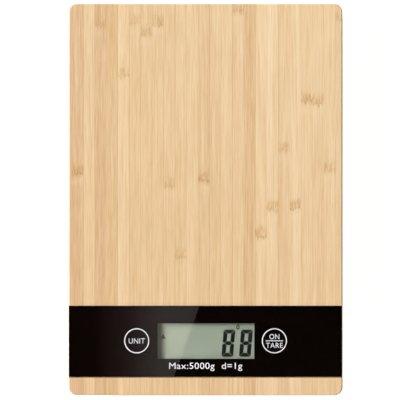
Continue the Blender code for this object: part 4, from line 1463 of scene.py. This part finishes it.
@dataclass
class LiquidCrystalDisplay(SubAssembly):
    """The display with its frame, rubber connectors and lit segments."""

    digit_mm: Flat = (6.85, 16.0)
    stroke_mm: float = 2.35
    gap_mm: float = 0.13
    corner_mm: float = 0.7
    slant: float = 0.088
    first_mm: Flat = (9.35, -92.5)
    pitch_mm: float = 10.3
    lift_mm: float = 0.01  # of the segments above the polariser
    ink_mm: float = 0.03
    mark_centre_mm: Flat = (19.1, -75.0)
    mark_radii_mm: Flat = (1.0, 1.55)
    mark_line_mm: float = 0.7
    mark_sides: int = 24
    pointer_mm: tuple[Flat, ...] = ((-26.4, -81.9), (-23.3, -81.9), (-24.85, -79.0))

    def build(self) -> None:
        """Dresses the display and makes its segments and marks."""
        self.dress(POLARISER, "lcd_panel")
        self.dress(ABS_INNER, "lcd_frame")
        self.dress(ZEBRA, "zebra_strip_front", "zebra_strip_rear")
        self.dress(SILVER_FILM, "lcd_reflector")
        face = box_of("lcd_panel").high.z + self.lift_mm * MM
        top = face + self.ink_mm * MM
        digit = self.digit(face, top)
        step = Vector((self.pitch_mm * MM, 0.0, 0.0))
        digits = run_tree(row_tree(), digit, "display_digits", SEGMENT, {"Count": 2, "Step": step})
        self.keep(digits, Body.PLATFORM, "lcd_glass")
        work = bmesh.new()
        self.add_ring(work, face, top)
        add_slab(work, [(x * MM, y * MM) for x, y in self.pointer_mm], face, top)
        marks = as_object(mesh_from(work, "display_marks"), "display_marks", FAINT_SEGMENT)
        self.keep(marks, Body.PLATFORM, "lcd_glass")

    def digit(self, bottom: float, top: float) -> Mesh:
        """Makes the seven segments of one slanted digit.

        Args:
            bottom: the height of their lower faces.
            top: the height of their upper faces.

        Returns:
            The mesh of the first digit, in place.
        """
        wide, tall = self.digit_mm
        stroke, gap, corner = self.stroke_mm, self.gap_mm, self.corner_mm
        half, waist = tall / 2, stroke / 2
        bar = (
            (corner + gap, tall),
            (wide - corner - gap, tall),
            (wide - corner / 2 - gap, tall - corner / 2),
            (wide - stroke - gap, tall - stroke),
            (stroke + gap, tall - stroke),
            (corner / 2 + gap, tall - corner / 2),
        )
        post = (
            (0.0, tall - corner - gap),
            (corner / 2, tall - corner / 2 - gap),
            (stroke, tall - stroke - gap),
            (stroke, half + waist + gap),
            (waist, half + gap),
            (0.0, half + waist / 2 + gap),
        )
        middle = (
            (waist + gap, half),
            (stroke + gap, half + waist),
            (wide - stroke - gap, half + waist),
            (wide - waist - gap, half),
            (wide - stroke - gap, half - waist),
            (stroke + gap, half - waist),
        )
        shapes = [bar, middle, [(x, tall - y) for x, y in bar]]
        for side in (post, [(wide - x, y) for x, y in post]):
            shapes += [side, [(x, tall - y) for x, y in side]]
        work = bmesh.new()
        left, front = self.first_mm
        for shape in shapes:
            placed = [((left + x + y * self.slant) * MM, (front + y) * MM) for x, y in shape]
            add_slab(work, placed, bottom, top)
        return mesh_from(work, "digit")

    def add_ring(self, work: BMesh, bottom: float, top: float) -> None:
        """Adds the small round mark between the digits.

        Args:
            work: the shape.
            bottom: the height of its lower face.
            top: the height of its upper face.
        """
        sides = self.mark_sides
        across, along = self.mark_centre_mm
        wide, tall = self.mark_radii_mm
        loops = []
        for shrink in (0.0, self.mark_line_mm):
            for height in (bottom, top):
                loop = []
                for step in range(sides):
                    angle = 2 * math.pi * step / sides
                    x = across + (wide - shrink) * math.cos(angle)
                    y = along + (tall - shrink) * math.sin(angle)
                    loop.append(work.verts.new((x * MM, y * MM, height)))
                loops.append(loop)
        for first, second in ((0, 1), (1, 3), (3, 2), (2, 0)):
            start, end = loops[first], loops[second]
            for step in range(sides):
                after = (step + 1) % sides
                work.faces.new((start[step], start[after], end[after], end[step]))


@dataclass
class CircuitBoard(SubAssembly):
    """The circuit board with its chips, small parts, solder and touch springs."""

    chip_mm: Point = (1.6, 0.8, 0.45)
    cap_mm: Point = (0.35, 0.86, 0.5)
    rows: tuple[tuple[float, float, int, float], ...] = (
        # x and y of the first part from the board's middle, how many, and the step along x, in mm
        (-34.0, 6.0, 5, 3.6),
        (14.0, -7.0, 6, 3.4),
        (24.0, 8.0, 7, 3.0),
        (-50.0, -6.0, 4, 3.8),
    )
    legs: int = 8  # on each side of the chip
    leg_mm: Point = (0.4, 1.1, 0.2)
    leg_out_mm: float = 0.45  # from the chip's side to the leg's middle
    joint_mm: float = 0.55  # radius of a drop of solder
    joint_flatness: float = 0.7
    joint_inset_mm: float = 1.6  # from the board's rear edge
    cable_mm: float = 1.0  # half of the signal cable's width
    cable_joints_mm: tuple[float, ...] = (-2.1, -0.7, 0.7, 2.1)
    wire_mm: float = 0.6  # half of a battery wire's width
    spring_joint_mm: float = 4.4  # from the spring's middle

    def build(self) -> None:
        """Dresses the board and adds its small parts."""
        self.dress(LAMINATE, "main_board")
        self.dress(EPOXY, "controller_blob", "adc_chip")
        self.dress(NICKEL, "unit_touch_spring", "tare_touch_spring")
        board, chip = box_of("main_board"), box_of("adc_chip")
        under = board.low.z
        spots = []
        for x, y, count, step in self.rows:
            for number in range(count):
                spots.append((board.middle.x + (x + number * step) * MM, board.middle.y + y * MM))
        reach = (self.chip_mm[0] / 2) * MM
        bodies = [(x, y, under - self.chip_mm[2] * MM / 2) for x, y in spots]
        ends = [(x + side * reach, y, under - self.cap_mm[2] * MM / 2) for x, y in spots for side in (-1, 1)]
        out = chip.size.y / 2 + self.leg_out_mm * MM
        legs = []
        for number in range(self.legs):
            x = chip.low.x + chip.size.x * (number + 0.5) / self.legs
            legs += [(x, chip.middle.y + side * out, under - self.leg_mm[2] * MM) for side in (-1, 1)]
        blocks = block_tree()
        for name, places, size_mm, finish, slot in (
            ("chip_parts", bodies, self.chip_mm, CERAMIC, "black_epoxy"),
            ("chip_ends", ends, self.cap_mm, SOLDER, "nickel_strip"),
            ("chip_legs", legs, self.leg_mm, SOLDER, "nickel_strip"),
        ):
            size = {"Size": Vector([length * MM for length in size_mm])}
            self.keep(run_tree(blocks, points_mesh(places, name), name, finish, size), Body.PLATFORM, slot)
        size = {"Radius": self.joint_mm * MM, "Flatness": self.joint_flatness}
        joints = points_mesh(self.joints(board), "solder_joints")
        drops = run_tree(dome_tree(), joints, "solder_joints", SOLDER, size)
        self.keep(drops, Body.PLATFORM, "nickel_strip")

    def joints(self, board: Box) -> list[Point]:
        """Gives the places where wires and springs are soldered on.

        Args:
            board: the circuit board's box.

        Returns:
            The places, on the board's lower face.
        """
        rear, under = board.high.y - self.joint_inset_mm * MM, board.low.z
        cable = box_of("signal_cable").high.x
        places = [(cable - (self.cable_mm + shift) * MM, rear, under) for shift in self.cable_joints_mm]
        for name in ("battery_wire_red", "battery_wire_black"):
            places.append((box_of(name).high.x - self.wire_mm * MM, rear, under))
        for name in ("unit_touch_spring", "tare_touch_spring"):
            spring = box_of(name).middle
            places += [(spring.x, spring.y + side * self.spring_joint_mm * MM, under) for side in (1, -1)]
        return places


@dataclass
class PlatformFrame(SubAssembly):
    """The black frame under the board and the bracket that joins it to the load cell."""

    def build(self) -> None:
        """Dresses the frame and the bracket."""
        self.dress(ABS, "upper_frame")
        self.dress(ZINC, "load_bracket")


@dataclass
class LoadPath(SubAssembly):
    """The load cell with its gauges, cut into slices along the span where the bar bends, and its lead."""

    bend_mm: Flat = (12.0, -12.0)  # where the bar starts and stops bending, from its fixed end to its live end
    cuts: int = 16

    def build(self) -> None:
        """Makes sliced copies of the load cell and its gauges, and dresses the lead."""
        self.bend("load_cell", ALUMINIUM, "machined_aluminium")
        for number in range(1, 5):
            self.bend(f"strain_gauge_{number}", GAUGE, "gauge_film")
        self.dress(GREY_PVC, "signal_cable")

    def bend(self, name: str, finish: Finish, slot: str) -> None:
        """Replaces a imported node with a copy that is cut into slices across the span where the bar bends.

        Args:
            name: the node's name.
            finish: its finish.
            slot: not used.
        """
        node = self.nodes[name]
        start, end = (Vector((0.0, y * MM, 0.0)) for y in self.bend_mm)
        work = bmesh.new()
        work.from_mesh(node.data)
        work.transform(node.matrix_world)
        for step in range(self.cuts + 1):
            place = start.lerp(end, step / self.cuts)
            parts = [*work.verts, *work.edges, *work.faces]
            bmesh.ops.bisect_plane(work, geom=parts, dist=1e-6, plane_co=place, plane_no=(0.0, 1.0, 0.0))
        bent = f"bending_{name}"
        piece = as_object(mesh_from(work, bent), bent, finish)
        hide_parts(name)
        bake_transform(piece)
        LOG.info("%s: %d faces bend from base to platform", piece.name, len(piece.data.polygons))


@dataclass
class BaseTray(SubAssembly):
    """The base shell on its four rubber feet."""

    ring_mm: float = 0.32

    def build(self) -> None:
        """Dresses the shell and makes the feet."""
        self.dress(ABS, "base_shell")
        names = ("front_left_foot", "front_right_foot", "rear_left_foot", "rear_right_foot")
        boxes = [box_of(name) for name in names]
        places = [(box.middle.x, box.middle.y, box.low.z) for box in boxes]
        sizes = {"Radius": boxes[0].size.x / 2, "Height": boxes[0].size.z, "Ring": self.ring_mm * MM}
        feet = run_tree(foot_tree(), points_mesh(places, "rubber_feet"), "rubber_feet", NITRILE, sizes)
        self.keep(feet, Body.BASE, "black_rubber", *names)


@dataclass
class BatteryBay(SubAssembly):
    """The coin cell, its contacts and wires, and the door with its raised arrow."""

    arrow_mm: tuple[Flat, ...] = (
        (-1.0, 1.5),
        (1.0, 1.5),
        (1.0, -1.0),
        (2.6, -1.0),
        (0.0, -4.2),
        (-2.6, -1.0),
        (-1.0, -1.0),
    )
    arrow_height_mm: float = 0.25
    arrow_root_mm: float = 0.05  # how far it reaches into the door

    def build(self) -> None:
        """Dresses the bay and puts the arrow on the door."""
        cell = box_of("coin_cell").middle
        self.dress(CellCan("nickel_plated_cell_can", (cell.x, cell.y)), "coin_cell")
        self.dress(NICKEL, "positive_contact", "negative_contact")
        self.dress(RED_PVC, "battery_wire_red")
        self.dress(BLACK_PVC, "battery_wire_black")
        self.dress(ABS, "battery_door")
        door = box_of("battery_door")
        work = bmesh.new()
        outline = [(door.middle.x + x * MM, door.middle.y + y * MM) for x, y in self.arrow_mm]
        bottom, top = door.low.z - self.arrow_height_mm * MM, door.low.z + self.arrow_root_mm * MM
        add_slab(work, outline, bottom, top)
        arrow = as_object(mesh_from(work, "door_arrow"), "door_arrow", ABS)
        self.keep(arrow, Body.DOOR, "black_abs")


# ------------------------------------------------------------------ studio


@dataclass(frozen=True)
class Glow(Finish):
    """A soft card that shines, with a brightness that changes from left to right."""

    from_x: float = 0.0
    to_x: float = 1.0
    stops: tuple[tuple[float, Colour], ...] = ()

    def surface(self, tree: NodeTree) -> NodeSocket:
        """Adds the card's nodes.

        Args:
            tree: the material's node tree.

        Returns:
            The shader socket.
        """
        place = add_node(tree, "ShaderNodeTexCoord").outputs["Object"]
        parts = add_node(tree, "ShaderNodeSeparateXYZ", links={0: place})
        span = {"From Min": self.from_x, "From Max": self.to_x}
        along = add_chain(tree, parts.outputs[0], ("ShaderNodeMapRange", span))
        ramp = add_node(tree, "ShaderNodeValToRGB", links={0: along})
        fill_ramp(ramp.color_ramp, self.stops)
        return add_node(tree, "ShaderNodeEmission", {"Strength": 1.0}, {"Color": ramp.outputs[0]}).outputs[0]


@dataclass(frozen=True)
class PaleFloor(Finish):
    """A white table that glows a little, so that no hard shadow is left on it."""

    glow: float = 0.88

    def surface(self, tree: NodeTree) -> NodeSocket:
        """Adds the floor's nodes.

        Args:
            tree: the material's node tree.

        Returns:
            The shader socket.
        """
        settings = {
            "Base Color": linear("#F7F7F7"),
            "Roughness": 0.9,
            "Specular IOR Level": 0.1,
            "Emission Color": (1.0, 1.0, 1.0, 1.0),
            "Emission Strength": self.glow,
        }
        return add_node(tree, "ShaderNodeBsdfPrincipled", settings).outputs[0]


@dataclass(frozen=True)
class Lamp:
    """A rectangular soft light that faces the object."""

    name: str
    azimuth: float  # in degrees
    elevation: float  # in degrees
    distance: float
    size: Flat
    power: float

    def add(self, aim: Vector) -> None:
        """Puts the light in the scene.

        Args:
            aim: the point that it faces.
        """
        light = bpy.data.lights.new(self.name, "AREA")
        light.shape = "RECTANGLE"
        light.size, light.size_y = self.size
        light.energy = self.power
        holder = bpy.data.objects.new(self.name, light)
        turn, rise = math.radians(self.azimuth), math.radians(self.elevation)
        way = Vector((math.cos(turn) * math.cos(rise), math.sin(turn) * math.cos(rise), math.sin(rise)))
        holder.location = aim + way * self.distance
        holder.rotation_euler = (-way).to_track_quat("-Z", "Y").to_euler()
        bpy.context.scene.collection.objects.link(holder)


@dataclass
class Studio:
    """The pale floor, the soft light, the card mirrored in the glass, and the camera."""

    lens: float = 200.0
    sensor: float = 36.0
    view_width: float = 0.2345
    aim: Flat = (-0.0032, -0.0003)
    floor_size: float = 30.0
    floor_squares: int = 12
    card_height: float = 0.6
    card_thick_mm: float = 2.0
    # the part of the glass that mirrors the card: its rear and front edge, its far side and its slanting edge
    card_ends_mm: Flat = (-50.0, -125.0)
    card_far_mm: float = -120.0
    card_line_mm: tuple[Flat, Flat] = ((-3.5, -62.5), (-18.3, -104.0))
    card_glow: tuple[tuple[float, Colour], ...] = (
        # share of the way from the card's far side to its slanting edge
        (0.0, (0.0, 0.0, 0.0, 1.0)),
        (0.46, (0.01, 0.005, 0.004, 1.0)),
        (0.62, (0.14, 0.095, 0.09, 1.0)),
        (0.78, (0.36, 0.315, 0.30, 1.0)),
        (1.0, (0.315, 0.275, 0.265, 1.0)),
    )
    sky: tuple[Flat, ...] = (
        # height of the direction, and how bright the sky is there
        (0.0, 1.0),
        (0.12, 0.8),
        (0.3, 0.2),
        (0.6, 0.12),
        (0.85, 0.06),
        (0.95, 0.003),
        (1.0, 0.002),
    )
    lamps: tuple[Lamp, ...] = (Lamp("left_window", 167.0, 28.0, 8.0, (4.4, 1.9), 1380.0),)

    def build(self) -> None:
        """Sets up the whole studio."""
        top = box_of("display_glass").high.z
        self.add_floor()
        self.add_sky()
        self.add_camera(top)
        self.add_card(top)
        for lamp in self.lamps:
            lamp.add(Vector((0.0, 0.0, top)))
        bpy.context.scene.view_settings.view_transform = "Standard"

    def add_floor(self) -> None:
        """Lays a flat white table top, cut into squares, under the scale."""
        work, squares = bmesh.new(), self.floor_squares
        bmesh.ops.create_grid(work, x_segments=squares, y_segments=squares, size=self.floor_size / 2)
        floor = as_object(mesh_from(work, "floor"), "floor", PaleFloor("white_table"))

    def add_sky(self) -> None:
        """Adds an even soft sky that is pale at the horizon and dark straight above."""
        world = bpy.data.worlds.new("soft_sky")
        world.use_nodes = True
        tree = world.node_tree
        tree.nodes.clear()
        way = add_node(tree, "ShaderNodeTexCoord").outputs["Generated"]
        parts = add_node(tree, "ShaderNodeSeparateXYZ", links={0: way})
        ramp = add_node(tree, "ShaderNodeValToRGB", links={0: parts.outputs[2]})
        fill_ramp(ramp.color_ramp, [(height, grey(level)) for height, level in self.sky])
        sky = add_node(tree, "ShaderNodeBackground", {"Strength": 1.0}, {"Color": ramp.outputs[0]})
        add_node(tree, "ShaderNodeOutputWorld", {}, {"Surface": sky.outputs[0]})
        bpy.context.scene.world = world

    @property
    def camera_rise(self) -> float:
        """Gives the camera's height above the glass."""
        return self.view_width / 2 / (self.sensor / 2 / self.lens)

    def add_camera(self, top: float) -> None:
        """Adds a long-lens camera straight above.

        Args:
            top: the height of the scale's top.
        """
        data = bpy.data.cameras.new("top_camera")
        data.lens = self.lens
        data.sensor_width = self.sensor
        data.clip_end = 100.0
        camera = bpy.data.objects.new("top_camera", data)
        camera.location = (self.aim[0], self.aim[1], top + self.camera_rise)
        bpy.context.scene.collection.objects.link(camera)
        bpy.context.scene.camera = camera

    def add_card(self, top: float) -> None:
        """Hangs the card whose slanting edge is mirrored across the glass.

        Args:
            top: the height of the glass.
        """
        # the card hangs above the glass, so that it is made larger than its mirror image
        grow = 1 + self.card_height / self.camera_rise
        (x1, y1), (x2, y2) = self.card_line_mm
        lean = (x1 - x2) / (y1 - y2)
        (aim_x, aim_y), (rear, front) = self.aim, self.card_ends_mm
        corners = []
        for y, far in ((rear, False), (front, False), (front, True), (rear, True)):
            x = self.card_far_mm if far else x1 + (y - y1) * lean
            corners.append((aim_x + (x * MM - aim_x) * grow, aim_y + (y * MM - aim_y) * grow))
        work, bottom = bmesh.new(), top + self.card_height
        add_slab(work, corners, bottom, bottom + self.card_thick_mm * MM)
        finish = Glow("soft_card", corners[2][0], corners[0][0], self.card_glow)
        card = as_object(mesh_from(work, "soft_card"), "soft_card", finish)


def main() -> None:
    """Builds the whole scene and reports each piece."""
    logging.basicConfig(level=logging.INFO, format="%(name)s %(message)s")
    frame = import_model()
    nodes = frame["nodes"]
    for group in (
        WeighingBoard,
        DisplayBand,
        LiquidCrystalDisplay,
        CircuitBoard,
        PlatformFrame,
        LoadPath,
        BaseTray,
        BatteryBay,
        Screws,
    ):
        LOG.info("building %s", group.__name__)
        group(nodes).build()
    Studio().build()


if __name__ == "__main__":
    main()
